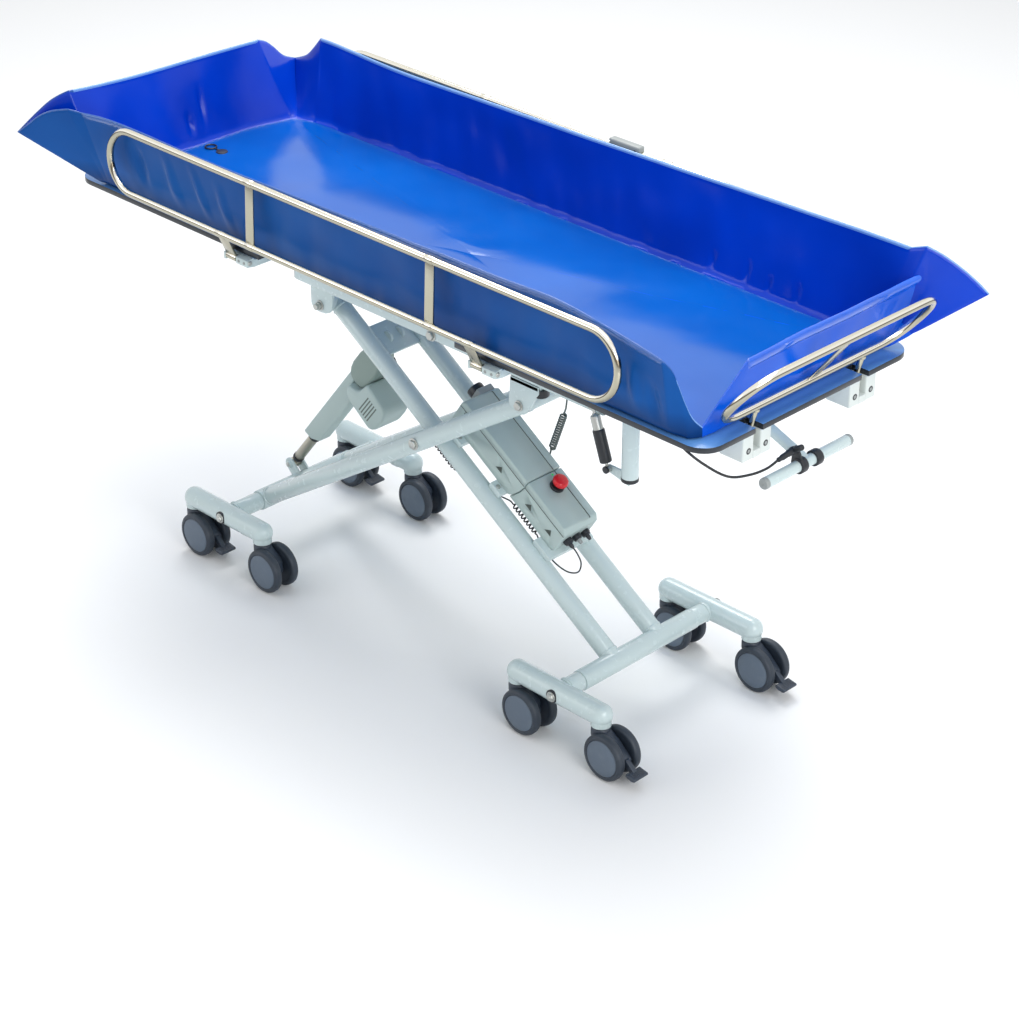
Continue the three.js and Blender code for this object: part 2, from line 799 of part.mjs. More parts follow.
function actuatorRod() {
  const end = -actuatorLength;
  return onActuator(cut(union([
    rodBetween([0, 0, -rodStart], [0, 0, end + rodEndGap], rodRadius),
    box(-rodTongueHalfX, rodTongueHalfX, -rodTongueHalfY, rodTongueHalfY,
      end + rodTongueNear, end + rodTongueFar),
    crossRod([0, end], -earHalfGap + touch, earHalfGap - touch, eyeRadius),
  ]), [crossRod([0, end], -crossEarHalf, crossEarHalf, actuatorPinRadius)]));
}

add("actuator_body", actuatorBody(), "cover");
add("actuator_motor", actuatorMotor(), "casing");
add("actuator_tube", actuatorTube(), "casing");
add("actuator_rod", actuatorRod(), "steel");

// Battery module and control unit on the inner arms, parted by a slanted seam
const footFloorV = armRadius + touch;

function displayUnit() {
  const front = boxStartU - displayThick;
  return union([
    box(front, boxStartU + boxChamfer / 2, ...displayY, ...displayV),
    rodBetween([front + over, knobY, knobV], [boxStartU - knobReach, knobY, knobV], knobRadius),
  ]);
}

function batteryModule() {
  const outline = [
    [boxStartU, boxBottomV + boxChamfer], [boxStartU + boxChamfer / 2, boxBottomV],
    [boxSeamU - seamFootBack, boxBottomV], [boxSeamU - seamKneeBack, boxBottomV + seamKneeRise],
    [boxSeamU, boxTopV - seamTopDrop], [boxSeamU, boxTopV],
    [boxStartU + boxChamfer, boxTopV], [boxStartU, boxTopV - boxChamfer],
  ];
  const feet = batteryFeetU.map((u) =>
    box(u, u + batteryFootLong, -innerY, innerY, footFloorV, boxBottomV + over));
  return onArm(union([sidePlate(outline, -boxHalfY, boxHalfY), displayUnit(), ...feet]));
}

function controlUnit() {
  const outline = [
    [boxSeamU - seamFootBack + 2 * seamGap, boxBottomV], [boxEndU - boxChamfer, boxBottomV],
    [boxEndU, boxBottomV + boxChamfer], [boxEndU, boxTopV - boxChamfer], [boxEndU - boxChamfer, boxTopV],
    [boxSeamU + seamGap, boxTopV], [boxSeamU + seamGap, boxTopV - seamTopDrop - seamGap],
    [boxSeamU - seamKneeBack + seamGap, boxBottomV + seamKneeRise],
  ];
  const plugs = [-plugHalfGauge, 0, plugHalfGauge].map((y) =>
    rodBetween([boxEndU - plugIn, y, plugV], [boxEndU + plugOut, y, plugV], plugRadius));
  return onArm(cut(union([
    sidePlate(outline, -boxHalfY, boxHalfY),
    box(boxEndU - bracketBack, boxEndU + bracketFront, -innerY, innerY, footFloorV, boxBottomV + over),
    rodBetween([stopU, stopY, boxTopV - over], [stopU, stopY, boxTopV + stopBaseHigh], stopBaseRadius),
    ...plugs,
  ]), [
    rodBetween([stopU, stopY, boxTopV - stopWellDeep], [stopU, stopY, boxTopV + stopHeadHigh],
      stopStemRadius + pinPlay)]));
}

function emergencyStop() {
  return onArm(union([
    rodBetween([stopU, stopY, boxTopV + stopStemStart], [stopU, stopY, boxTopV + stopHeadLow + over],
      stopStemRadius),
    rodBetween([stopU, stopY, boxTopV + stopHeadLow], [stopU, stopY, boxTopV + stopHeadHigh], stopHeadRadius),
  ]));
}

add("battery_module", batteryModule(), "casing");
add("control_unit", controlUnit(), "casing");
add("emergency_stop", emergencyStop(), "red");

// Upper frame: two long tubes on the scissor's top, with lugs, tilt pins and gas spring stud
const lugFootShares = [[-1.7, -0.2], [-1.1, -0.85], [0, -1], [1.3, -0.8], [2.2, 0.1]];
const lugTopShares = [2.5, -1.8];

function upperFrame() {
  const bodies = [];
  const holes = [];
  const tubeMiddleZ = railBottomZ + railTube / 2;
  for (const side of [-1, 1]) {
    bodies.push(box(railStartX, railEndX, side * innerFace, side * outerFace,
      railBottomZ, railBottomZ + railTube));
    bodies.push(sidePlate([
      ...outlineFrom(lugFootShares, topLeft, lugDrop),
      ...lugTopShares.map((share) => [topLeft[0] + share * lugDrop, tubeMiddleZ]),
    ], side * (lugY - lugHalf), side * (lugY + lugHalf + pinPlay)));
    holes.push(crossRod(topLeft, side * (lugY - lugDrop), side * (innerFace + lugDrop), bore(topPinRadius)));
    bodies.push(crossRod([tiltX, tiltZ], side * (innerFace - tiltPinIn), side * outerFace, tiltPinRadius));
    bodies.push(crossRod([tiltX, tiltZ], side * (outerFace - over), side * (outerFace + headThick),
      tiltHeadRadius, hexSides));
  }
  const eyeFace = -postY - springEyeHalf;
  bodies.push(crossRod([studX, studZ], -outerFace + over, eyeFace - springPinOver, springPinRadius));
  bodies.push(crossRod([studX, studZ], eyeFace - over, eyeFace - over - springHeadThick, tiltPinRadius));
  for (const x of [railStartX + crossInset, railEndX - crossInset - crossWide]) {
    bodies.push(box(x, x + crossWide, -innerFace - over, innerFace + over,
      railBottomZ + crossShy, railBottomZ + railTube - crossShy));
  }
  return cut(union(bodies), holes);
}

// Slider cheek outline below the shoe, in shares of its drop
const cheekShares = [[-1.619, -0.095], [-1.143, -0.857], [0, -1], [0.952, -0.571]];

function slider(side) {
  const [x] = topRight;
  const shoeTop = railBottomZ - slidePlay;
  return cut(union([
    sidePlate([
      [x - shoeBack, shoeTop], ...outlineFrom(cheekShares, topRight, cheekDrop),
      [x + shoeFront, shoeTop - shoeLip], [x + shoeFront, shoeTop],
    ], side * sliderPlateStart, side * sliderPlateEnd),
    box(x - shoeBack, x + shoeFront, side * innerFace, side * sliderPlateEnd, shoeTop - shoeThick, shoeTop),
    upright(x + bufferX, side * railY, shoeTop - bufferDrop, shoeTop - bufferSink, bufferRadius),
  ]), [
    crossRod(topRight, side * (sliderPlateStart - over), side * (sliderPlateEnd + over), bore(topPinRadius)),
  ]);
}

add("upper_frame", upperFrame(), "frame");
add("slider_near", slider(-1), "frame");
add("slider_far", slider(1), "frame");

// Bed frame: tubes under the board, tilt lugs, rail hinge blocks, post and gas spring bracket
function hingeBlock(x, side) {
  const back = side * (sideHingeY - blockBack);
  const front = side * (sideHingeY + blockFront);
  const cheek = (x0, x1) => endPlate([
    [back, sideHingeZ - blockDrop], [front, sideHingeZ - blockRise], [front, sideHingeZ + blockFront],
    [side * sideHingeY - side * blockBody, sideHingeZ + blockRise], [back, sideHingeZ + blockRise],
  ], x0, x1);
  const inner = x - legHalf - blockPlay;
  const outer = x + legHalf + blockPlay;
  const pinEnd = legHalf + hingePinOver;
  return union([
    cheek(inner - cheekThick, inner),
    cheek(outer, outer + blockLong - blockPlay),
    box(inner - cheekThick, outer + blockLong - blockPlay, side * bedTubeY, side * (sideHingeY - blockDrop),
      sideHingeZ - blockDrop, sideHingeZ + blockBody),
    rodBetween([x - pinEnd, side * sideHingeY, sideHingeZ], [x + pinEnd, side * sideHingeY, sideHingeZ],
      hingePinRadius),
  ]);
}

function endBlock(side) {
  const y = side * endPostY;
  return cut(box(endHingeX - endBlockIn, endHingeX + endBlockOut, y - endBlockHalf, y + endBlockHalf,
    boardBottomZ - endBlockDrop, boardBottomZ - touch), [
    box(endHingeX - notchHalf, endHingeX + endBlockHalf, y - endSlotHalf, y + endSlotHalf,
      endHingeZ - notchHalf, boardBottomZ + over),
  ]).add(rodBetween([endHingeX, y - endPinReach, endHingeZ], [endHingeX, y + endPinReach, endHingeZ],
    hingePinRadius));
}

// Tilt lug foot in shares of its drop below the pivot, and the gas spring bracket's end
const tiltLugShares = [[-1.2, -0.4], [-0.533, -1], [0.533, -1], [1.2, -0.4]];
const bracketEndShares = [[-0.444, -1], [-1, 0], [-0.444, 0.778]];

function bedFrame() {
  const top = boardBottomZ - touch;
  const reach = boardHalfX - bedTubeInset;
  const lugFoot = bedTubeBottomZ + tiltLugSink;
  const bodies = [];
  for (const side of [-1, 1]) {
    bodies.push(box(-reach, reach, side * (bedTubeY - railTube / 2), side * (bedTubeY + railTube / 2),
      bedTubeBottomZ, top));
    const lugFace = innerFace - tiltLugGap;
    bodies.push(cut(sidePlate([
      [tiltX - tiltLugHalf, lugFoot], ...outlineFrom(tiltLugShares, [tiltX, tiltZ], tiltLugDrop),
      [tiltX + tiltLugHalf, lugFoot],
    ], side * (lugFace - tiltLugThick), side * lugFace), [
      crossRod([tiltX, tiltZ], -railY, railY, bore(tiltPinRadius))]));
    for (const x of sideLegs) bodies.push(hingeBlock(x, side));
    bodies.push(endBlock(side));
  }
  const crossTubes = [[leftCrossInset - boardHalfX, bedCrossHalf], [innerCrossX, bedCrossHalf],
    [tiltX, bedCrossHalf], [postX, postCrossHalf]];
  for (const [x, half] of crossTubes) {
    bodies.push(box(x - half, x + half, -bedTubeY, bedTubeY, bedTubeBottomZ + bedCrossShy, top));
  }
  bodies.push(upright(postX, -postY, postBottomZ, bedTubeBottomZ + postSink, postRadius));
  const bracketY = -postY + springEyeHalf + slidePlay;
  const eyeFace = -postY - springEyeHalf;
  const tipFoot = springPinZ - springEyeRadius;
  const endPoints = outlineFrom(bracketEndShares, [springPinX, springPinZ], springEyeRadius);
  const bracketTopZ = endPoints[endPoints.length - 1][1];
  bodies.push(sidePlate([
    [postX - blockFront, tipFoot - springEyeRadius - springBracketThick], ...endPoints,
    [postX - blockFront, bracketTopZ],
  ], bracketY, bracketY + springBracketThick));
  bodies.push(crossRod([springPinX, springPinZ], bracketY + springPinOver, eyeFace - springPinOver,
    springPinRadius));
  bodies.push(crossRod([springPinX, springPinZ], eyeFace - over, eyeFace - over - springHeadThick,
    springFootHeadRadius));
  return union(bodies);
}

add("bed_frame", bedFrame(), "frame");

// Gas spring beside the post
function gasSpringBody() {
  return onSpring(cut(union([
    crossRod([0, 0], -springEyeHalf, springEyeHalf, springEyeRadius),
    rodBetween([0, 0, springNeckStart], [0, 0, springSleeveStart + over], springEyeHalf - touch),
    rodBetween([0, 0, springSleeveStart], [0, 0, springSleeveEnd], springSleeveRadius),
  ]), [
    crossRod([0, 0], -springEyeRadius, springEyeRadius, bore(springPinRadius)),
    rodBetween([0, 0, springBoreStart], [0, 0, springSleeveEnd + over], springBoreRadius),
  ]));
}

function gasSpringRod() {
  return onSpring(cut(union([
    rodBetween([0, 0, springRodStart], [0, 0, springLength - springRodGap], springRodRadius),
    crossRod([0, springLength], -springEyeHalf, springEyeHalf, springTopEyeRadius),
  ]), [crossRod([0, springLength], -springEyeRadius, springEyeRadius, springPinRadius + springTopPlay)]));
}

add("gas_spring_body", gasSpringBody(), "dark");
add("gas_spring_rod", gasSpringRod(), "steel");

// Push handle, its release lever and the pull cable
// Lever plate outline about its pivot, in shares of the pivot's height above the bar
const leverPlateShares = [[-0.205, -0.103], [-0.051, 0.205], [0.154, 0.154]];

function tBar() {
  const stemEnd = [postX + postCrossHalf + touch, 0, boardBottomZ - stemTopDrop];
  const stem = cut(rodBetween([barX, 0, barZ], stemEnd, barRadius - stemShy), [
    box(stemEnd[0] - stemCutReach, stemEnd[0], -stemCutReach, stemCutReach,
      stemEnd[2] - stemCutReach, stemEnd[2] + stemCutReach)]);
  const rise = leverPivotZ - barZ;
  const pivot = [leverPivotX, leverPivotZ];
  const plate = [
    [barX - barRadius, barZ], ...outlineFrom(leverPlateShares, pivot, rise),
    [barX + barRadius, barZ + barRadius / 2],
  ];
  return union([
    rodBetween([barX, -barHalf, barZ], [barX, barHalf, barZ], barRadius),
    stem,
    ...barCollars.map(([y0, y1]) => rodBetween([barX, y0, barZ], [barX, y1, barZ], barCollarRadius)),
    sidePlate(plate, ...leverPlateY),
    crossRod(pivot, ...leverPinY, leverPinRadius),
  ]);
}

function releaseLever() {
  const pivot = [leverPivotX, leverPivotZ];
  return cut(union([
    crossRod(pivot, ...leverHubY, leverHubRadius),
    rodBetween([leverPivotX, leverY, leverPivotZ],
      [leverPivotX + leverGripAcross, leverGripY, leverPivotZ + leverGripRise], leverGripRadius),
    rodBetween([leverPivotX, leverY, leverPivotZ],
      [leverPivotX + leverTabReach, leverY, leverPivotZ + leverTabRise], leverTabRadius),
  ]), [crossRod(pivot, leverPinY[0] - 2 * over, leverPinY[1] - over, bore(leverPinRadius))]);
}

// Route of the pull cable, from the lever's end to the bed frame, about the lever's pivot
const pullRoute = [[4, -96.5, -2], [4, -130, -8], [0, -185, -5], [-13, -240, 7], [-43, -290, 46],
  [-73, -310, 73], [-113, -300, 83], [-173, -262, 85]];

function pullCable() {
  const curve = new THREE.CatmullRomCurve3(pullRoute.map(([x, y, z]) =>
    new THREE.Vector3(leverPivotX + x, y, leverPivotZ + z)));
  const points = curve.getPoints(pullCableSteps).map((point) => point.toArray());
  return sweptTube(points, pullCableRadius, pullCableSides);
}

add("t_bar", tBar(), "frame");
add("release_lever", releaseLever(), "dark");
add("bowden_cable", pullCable(), "dark");

// Board with rounded corners, side recesses, post notches and the drain hole
function boardOutline() {
  const x = boardHalfX - boardCorner;
  const y = boardHalfY - boardCorner;
  return [[x, y, 0], [-x, y, 1], [-x, -y, 2], [x, -y, 3]].flatMap(([cx, cy, quarter]) =>
    Array.from({ length: cornerSteps + 1 }, (_, step) => {
      const angle = (Math.PI / 2) * (quarter + step / cornerSteps);
      return new THREE.Vector2(cx + boardCorner * Math.cos(angle), cy + boardCorner * Math.sin(angle));
    }));
}

function board() {
  const shape = new THREE.Shape(boardOutline());
  const sheet = solid(new THREE.ExtrudeGeometry(shape, { depth: boardThick, bevelEnabled: false })
    .translate(0, 0, boardBottomZ));
  const low = boardBottomZ - over;
  const high = boardBottomZ + boardThick + over;
  const holes = [];
  for (const side of [-1, 1]) {
    const y = side * endPostY;
    holes.push(box(recessStartX, recessEndX, side * (boardHalfY - recessDepth), side * (boardHalfY + over),
      low, high));
    holes.push(box(endHingeX - notchIn, boardHalfX + over, y - notchHalf, y + notchHalf, low, high));
  }
  holes.push(upright(drainX, drainY, low, high, boardDrain));
  return cut(sheet, holes);
}

add("board", board(), "board");

// Rails: a stadium of steel tube with flat bars between its long sides and legs below
function stadium(start, end, low, high) {
  const rise = [high[0] - low[0], high[1] - low[1]];
  const radius = Math.hypot(...rise) / 2;
  const centre = [(low[0] + high[0]) / 2, (low[1] + high[1]) / 2];
  const points = [];
  for (const [along, way] of [[end - radius, 1], [start + radius, -1]]) {
    for (let step = 0; step <= bendSteps; step += 1) {
      const angle = way * (Math.PI * step / bendSteps - Math.PI / 2);
      const up = Math.sin(angle);
      points.push([along + way * radius * Math.cos(angle),
        centre[0] + up * rise[0] / 2, centre[1] + up * rise[1] / 2]);
    }
  }
  return points;
}

// Flat bar from one long side of a rail to the other, thin across the rail's plane
function flatBar(at, low, high, half) {
  const lean = Math.atan2(high[0] - low[0], high[1] - low[1]);
  const dy = barThick / 2 * Math.cos(lean);
  const dz = barThick / 2 * Math.sin(lean);
  return endPlate([
    [low[0] - dy, low[1] + dz], [low[0] + dy, low[1] - dz],
    [high[0] + dy, high[1] - dz], [high[0] - dy, high[1] + dz],
  ], at - half, at + half);
}

function hingeEye(at, hinge, half) {
  return rodBetween([at - half, ...hinge], [at + half, ...hinge], hingeEyeRadius);
}

function hingeHole(at, hinge, half) {
  return rodBetween([at - half - over, ...hinge], [at + half + over, ...hinge], bore(hingePinRadius));
}

function sideRail(side) {
  const low = [side * sideLowY, sideLowZ];
  const high = [side * sideHighY, sideHighZ];
  const hinge = [side * sideHingeY, sideHingeZ];
  const path = stadium(sideRailLeftInset - boardHalfX, boardHalfX - sideRailRightInset, low, high);
  const bodies = [sweptTube(path, railRadius, railSides, true)];
  for (const x of sideBars) bodies.push(flatBar(x, low, high, barFlatHalf));
  for (const x of sideLegs) bodies.push(flatBar(x, hinge, low, legHalf), hingeEye(x, hinge, legHalf));
  return cut(union(bodies), sideLegs.map((x) => hingeHole(x, hinge, legHalf)));
}

// The end rail is made along X like the side rails and then turned a quarter
function endRail() {
  const low = [endLowInset - boardHalfX, endLowZ];
  const high = [-boardHalfX - endHighOut, endHighZ];
  const hinge = [-endHingeX, endHingeZ];
  const posts = [-endPostY, endPostY];
  const path = stadium(-endHalfY, endHalfY, low, high);
  const bodies = [sweptTube(path, railRadius, railSides, true), flatBar(0, low, high, barFlatHalf)];
  for (const y of posts) {
    bodies.push(rodBetween([y, ...low], [y, ...hinge], endPostRadius), hingeEye(y, hinge, hingeEyeRadius));
  }
  return cut(union(bodies), posts.map((y) => hingeHole(y, hinge, hingeEyeRadius))).rotate([0, 0, quarterTurn]);
}

add("side_rail_near", sideRail(-1), "steel");
add("side_rail_far", sideRail(1), "steel");
add("end_rail_right", endRail(), "steel");

// Soft liner: rim points beside the floor points below them, counter-clockwise from above.
// Across in shares of the board's half sides, up in shares of the tub's height.
const rimAndFloorShares = [
  [[-1.0897, -1.2845, 0.5123], [-0.9028, -0.9718]],
  [[-1.0594, -1.2563, 0.6327], [-0.8995, -0.9724]],
  [[-1.0292, -1.229, 0.7586], [-0.8963, -0.9732]],
  [[-0.9944, -1.1921, 0.8559], [-0.893, -0.9741]],
  [[-0.95, -1.138, 0.9145], [-0.8897, -0.9746]],
  [[-0.9234, -1.0817, 0.8805], [-0.8738, -0.9746]],
  [[-0.8383, -1.0366, 0.8918], [-0.8257, -0.9746]],
  [[-0.4944, -1.0366, 0.8873], [-0.487, -0.9746]],
  [[-0.1561, -1.0366, 0.9145], [-0.1537, -0.9746]],
  [[0.1598, -1.0366, 0.9464], [0.1574, -0.9746]],
  [[0.4561, -1.0366, 0.9668], [0.4493, -0.9746]],
  [[0.6252, -1.0366, 0.985], [0.6159, -0.9746]],
  [[0.7888, -1.0366, 0.885], [0.7769, -0.9746]],
  [[0.8943, -1.0479, 0.8155], [0.9019, -0.9746]],
  [[0.9065, -1.0028, 0.7109], [0.9144, -0.9668]],
  [[0.9177, -0.9744, 0.55], [0.9222, -0.9589]],
  [[0.9287, -0.949, 0.3736], [0.9301, -0.951]],
  [[0.9411, -0.9149, 0.2041], [0.9379, -0.9431]],
  [[0.9528, -0.8713, 0.1077], [0.9523, -0.8676]],
  [[0.9591, -0.8079, 0.2427], [0.9567, -0.7794]],
  [[0.9702, -0.6932, 0.4795], [0.9582, -0.7276]],
  [[0.9813, -0.5789, 0.71], [0.9589, -0.6056]],
  [[0.9813, -0.1014, 0.735], [0.9579, -0.0963]],
  [[0.9813, 0.3775, 0.735], [0.9579, 0.3586]],
  [[0.9813, 0.8704, 0.7441], [0.9579, 0.827]],
  [[0.9994, 1.1493, 0.8132], [0.9607, 0.8394]],
  [[1.0243, 1.2042, 0.8159], [0.9603, 0.8423]],
  [[1.0517, 1.2527, 0.7732], [0.9598, 0.8451]],
  [[1.0765, 1.2882, 0.6995], [0.9593, 0.8479]],
  [[1.1028, 1.3161, 0.5859], [0.9589, 0.8507]],
  [[1.0775, 1.2546, 0.7441], [0.9565, 0.8569]],
  [[1.052, 1.1913, 0.8768], [0.9542, 0.8634]],
  [[1.0231, 1.1172, 1.005], [0.9519, 0.8699]],
  [[0.999, 1.0535, 1.0877], [0.9495, 0.8761]],
  [[0.9626, 1.0451, 1.0236], [0.9206, 0.893]],
  [[0.8738, 1.0366, 1.0305], [0.8476, 0.9042]],
  [[0.657, 1.0366, 1.0123], [0.6373, 0.9042]],
  [[0.372, 1.0366, 0.985], [0.3608, 0.9042]],
  [[0.0701, 1.0366, 0.9577], [0.068, 0.9042]],
  [[-0.2514, 1.0366, 0.9395], [-0.2438, 0.9042]],
  [[-0.5944, 1.0366, 0.9214], [-0.5765, 0.9042]],
  [[-0.8224, 1.0479, 0.9577], [-0.7944, 0.9014]],
  [[-0.8779, 1.0592, 0.9464], [-0.8458, 0.893]],
  [[-0.9079, 1.0634, 0.7868], [-0.8623, 0.8752]],
  [[-0.9376, 1.0763, 0.6614], [-0.8788, 0.8572]],
  [[-1.014, 1.1482, 0.49], [-0.8953, 0.8394]],
  [[-0.9984, 0.9848, 0.6164], [-0.8981, 0.8315]],
  [[-0.9985, 0.8899, 0.7645], [-0.9009, 0.8239]],
  [[-0.9957, 0.8115, 0.8636], [-0.9037, 0.8163]],
  [[-0.986, 0.7146, 0.9345], [-0.9065, 0.8085]],
  [[-0.986, 0.4789, 0.9441], [-0.9318, 0.4225]],
  [[-0.986, 0.1606, 0.9577], [-0.9327, 0.1493]],
  [[-0.986, -0.4, 0.9759], [-0.9327, -0.3721]],
  [[-0.986, -0.7606, 1.0077], [-0.9252, -0.7073]],
  [[-0.9925, -1.0254, 1.0305], [-0.9084, -0.9521]],
  [[-1.0088, -1.0642, 0.9805], [-0.9073, -0.9561]],
  [[-1.0281, -1.1127, 0.9032], [-0.9062, -0.96]],
  [[-1.0519, -1.1772, 0.7664], [-0.905, -0.9639]],
  [[-1.0708, -1.2304, 0.6423], [-0.9039, -0.9679]],
];
const floorMiddleShare = 0.013;
const wallLevelShares = [[0.02, 0.05], [0.45, 0.55]];
const floorInsetShares = [0.985, 0.95];

// Rings of the inner skin from the floor up, and the way out of the wall at each of its columns
function linerRings() {
  const rim = rimAndFloorShares.map(([[x, y, up]]) =>
    new THREE.Vector3(x * boardHalfX, y * boardHalfY, linerFloorZ + up * tubHeight));
  const floor = rimAndFloorShares.map(([, [x, y]]) =>
    new THREE.Vector3(x * boardHalfX, y * boardHalfY, linerFloorZ));
  const levels = wallLevelShares.map(([across, up]) => rim.map((spot, at) => {
    const point = floor[at].clone().lerp(spot, across);
    point.z = linerFloorZ + (spot.z - linerFloorZ) * up;
    return point;
  }));
  const inset = floor.map((spot) =>
    new THREE.Vector3(spot.x * floorInsetShares[0], spot.y * floorInsetShares[1], linerFloorZ));
  const ways = rim.map((spot, at) => {
    const column = spot.clone().sub(floor[at]);
    const before = rim[(at + rim.length - 1) % rim.length];
    const after = rim[(at + 1) % rim.length];
    return spot.clone().sub(before).cross(column).normalize()
      .add(after.clone().sub(spot).cross(column).normalize()).normalize();
  });
  return { rings: [inset, ...levels, rim], ways };
}

function liner() {
  const { rings: inner, ways } = linerRings();
  const middleX = floorMiddleShare * boardHalfX;
  const down = new THREE.Vector3(0, 0, -1);
  const outer = inner.map((ring, level) => ring.map((spot, at) =>
    spot.clone().addScaledVector(level === 0 ? down : ways[at], linerThick)));
  const rings = [...inner, ...outer.reverse()];
  const count = inner[0].length;
  const positions = rings.flatMap((ring) => ring.flatMap((spot) => spot.toArray()));
  const hub = positions.length / 3;
  positions.push(middleX, 0, linerFloorZ, middleX, 0, linerFloorZ - linerThick);
  const indices = [];
  const lastRing = (rings.length - 1) * count;
  for (let at = 0; at < count; at += 1) {
    const next = (at + 1) % count;
    for (let row = 0; row < lastRing; row += count) {
      indices.push(row + at, row + at + count, row + next, row + next, row + at + count, row + next + count);
    }
    indices.push(hub, at, next, hub + 1, lastRing + next, lastRing + at);
  }
  return outward(positions, indices)
    .subtract(upright(drainX, drainY, linerFloorZ - drainDeep, linerFloorZ + drainDeep, drainHole));
}

function drainPlug() {
  const floor = linerFloorZ + touch;
  const loopZ = floor + loopLift;
  const loop = Array.from({ length: loopSteps }, (_, step) => {
    const angle = 2 * Math.PI * step / loopSteps;
    return [drainX - loopReach + loopRadius * Math.cos(angle), drainY + loopRadius * Math.sin(angle), loopZ];
  });
  return union([
    upright(drainX, drainY, boardBottomZ + plugSinkZ, floor + over, drainHole - drainPlay),
    upright(drainX, drainY, floor, floor + plugCapThick, plugCapRadius),
    box(drainX - tongueFar, drainX - tongueNear, drainY - tongueHalf, drainY + tongueHalf,
      floor + over, floor + plugCapThick),
    sweptTube(loop, loopWireRadius, loopSides, true),
  ]);
}

add("liner", liner(), "liner");
add("drain_plug", drainPlug(), "dark");

// Curly cords: straight leads, then curls of eight steps each
const curlSteps = 8;
const curlTaperSteps = 5;
const cordSides = 5;
const greyCordRadius = 2.4;
const darkCordRadius = 1.9;
const greyCurlRadius = 7.6;
const greyCurls = 15;
const darkCurlRadius = 5.6;
const darkUpperCurls = 8;
const darkLowerCurls = 9;

function curl(start, end, radius, curls) {
  const from = new THREE.Vector3(...start);
  const to = new THREE.Vector3(...end);
  const along = to.clone().sub(from).normalize();
  const side = new THREE.Vector3(0, 1, 0).cross(along).normalize();
  const other = along.clone().cross(side);
  const steps = curls * curlSteps;
  return Array.from({ length: steps + 1 }, (_, step) => {
    const angle = 2 * Math.PI * step / curlSteps;
    const grow = Math.min(1, (step + 1) / curlTaperSteps, (steps - step + 1) / curlTaperSteps);
    return from.clone().lerp(to, step / steps)
      .addScaledVector(side, grow * radius * Math.cos(angle))
      .addScaledVector(other, grow * radius * Math.sin(angle)).toArray();
  });
}

// Routes of the cords: the grey one in the row frame, the dark one in the inner arm frame
function greyCordPath() {
  return [
    [288, 69, 976], [287, 69, 966], [276, 69, 800], [266, 69, 668], [262, 69, 655],
    ...curl([260, 69, 648], [220, 69, 538], greyCurlRadius, greyCurls),
    [216, 68, 525], [214, 64, 512], [212, 61, 500], [211, 60.9, 492],
  ];
}

function darkCordPath() {
  return [
    [-236, -36, -10], [-222, -37, -14], [-150, -42, -34], [-80, -47, -56], [-30, -50, -68], [-14, -50, -69],
    ...curl([-6, -50, -69], [82, -50, -69], darkCurlRadius, darkUpperCurls),
    [92, -50, -68], [130, -48, -58], [180, -46, -30], [225, -46, 4], [244, -47, 18], [252, -48, 23],
    ...curl([260, -48, 24], [356, -48, 25], darkCurlRadius, darkLowerCurls),
    [364, -48, 20], [376, -47, 12], [400, -46, 8], [440, -42, 6], [478, -38, 20], [496, -34, 46],
    [486, -31, 70], [462, -30, 79], [446, -30, 80], [435.5, -30, 80],
  ].map(([u, y, v]) => {
    const [x, z] = armPoint(u, v);
    return [x, y, z];
  });
}

// Least gap between stretches of a cord that lie apart along it
const apartShare = 1.6;
const apartRadii = 6;
function leastGap(points, radius) {
  const path = points.map((point) => new THREE.Vector3(...point));
  let least = Infinity;
  path.forEach((spot, at) => {
    let run = 0;
    for (let next = at + 1; next < path.length; next += 1) {
      run += path[next].distanceTo(path[next - 1]);
      const straight = spot.distanceTo(path[next]);
      const apart = run > straight * apartShare && run > apartRadii * radius;
      if (apart) least = Math.min(least, straight - 2 * radius);
    }
  });
  return least;
}

add("grey_curly_cord", sweptTube(greyCordPath(), greyCordRadius, cordSides), "casing");
add("dark_curly_cord", sweptTube(darkCordPath(), darkCordRadius, cordSides), "dark");

const gaps = [leastGap(greyCordPath(), greyCordRadius), leastGap(darkCordPath(), darkCordRadius)];
console.log(`least gap of each curly cord to itself: ${gaps.map((gap) => gap.toFixed(2)).join(", ")} mm`);
const triangles = group.children.map((piece) => piece.geometry.index.count / 3);
console.log(`${group.children.length} pieces, ${triangles.reduce((sum, count) => sum + count)} triangles, `
  + `largest ${Math.max(...triangles)}`);

export default group;
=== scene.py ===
import math

import bmesh
import bpy
from mathutils import Matrix, Vector, noise


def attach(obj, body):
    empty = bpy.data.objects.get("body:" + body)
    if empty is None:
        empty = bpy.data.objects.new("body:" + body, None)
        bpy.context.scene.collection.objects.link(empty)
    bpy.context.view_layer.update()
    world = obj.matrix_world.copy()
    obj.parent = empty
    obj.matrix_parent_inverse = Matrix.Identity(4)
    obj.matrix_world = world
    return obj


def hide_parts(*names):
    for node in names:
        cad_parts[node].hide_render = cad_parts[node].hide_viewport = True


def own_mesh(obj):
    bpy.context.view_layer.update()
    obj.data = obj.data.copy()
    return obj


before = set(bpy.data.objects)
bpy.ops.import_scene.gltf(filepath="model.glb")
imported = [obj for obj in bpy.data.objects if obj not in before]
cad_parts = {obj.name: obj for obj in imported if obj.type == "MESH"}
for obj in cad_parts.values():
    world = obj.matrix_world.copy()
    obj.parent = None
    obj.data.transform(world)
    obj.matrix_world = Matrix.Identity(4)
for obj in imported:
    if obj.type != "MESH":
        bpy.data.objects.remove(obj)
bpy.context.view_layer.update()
print("frame loaded:", len(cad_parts), "nodes")

mm = 0.001

# Camera
lookFrom = {"place": (4.394, -4.2833, 3.7539), "azimuth": 44.786, "elevation": 29.379, "roll": 0.121,
            "lens": 98.0, "sensor": 36.0}


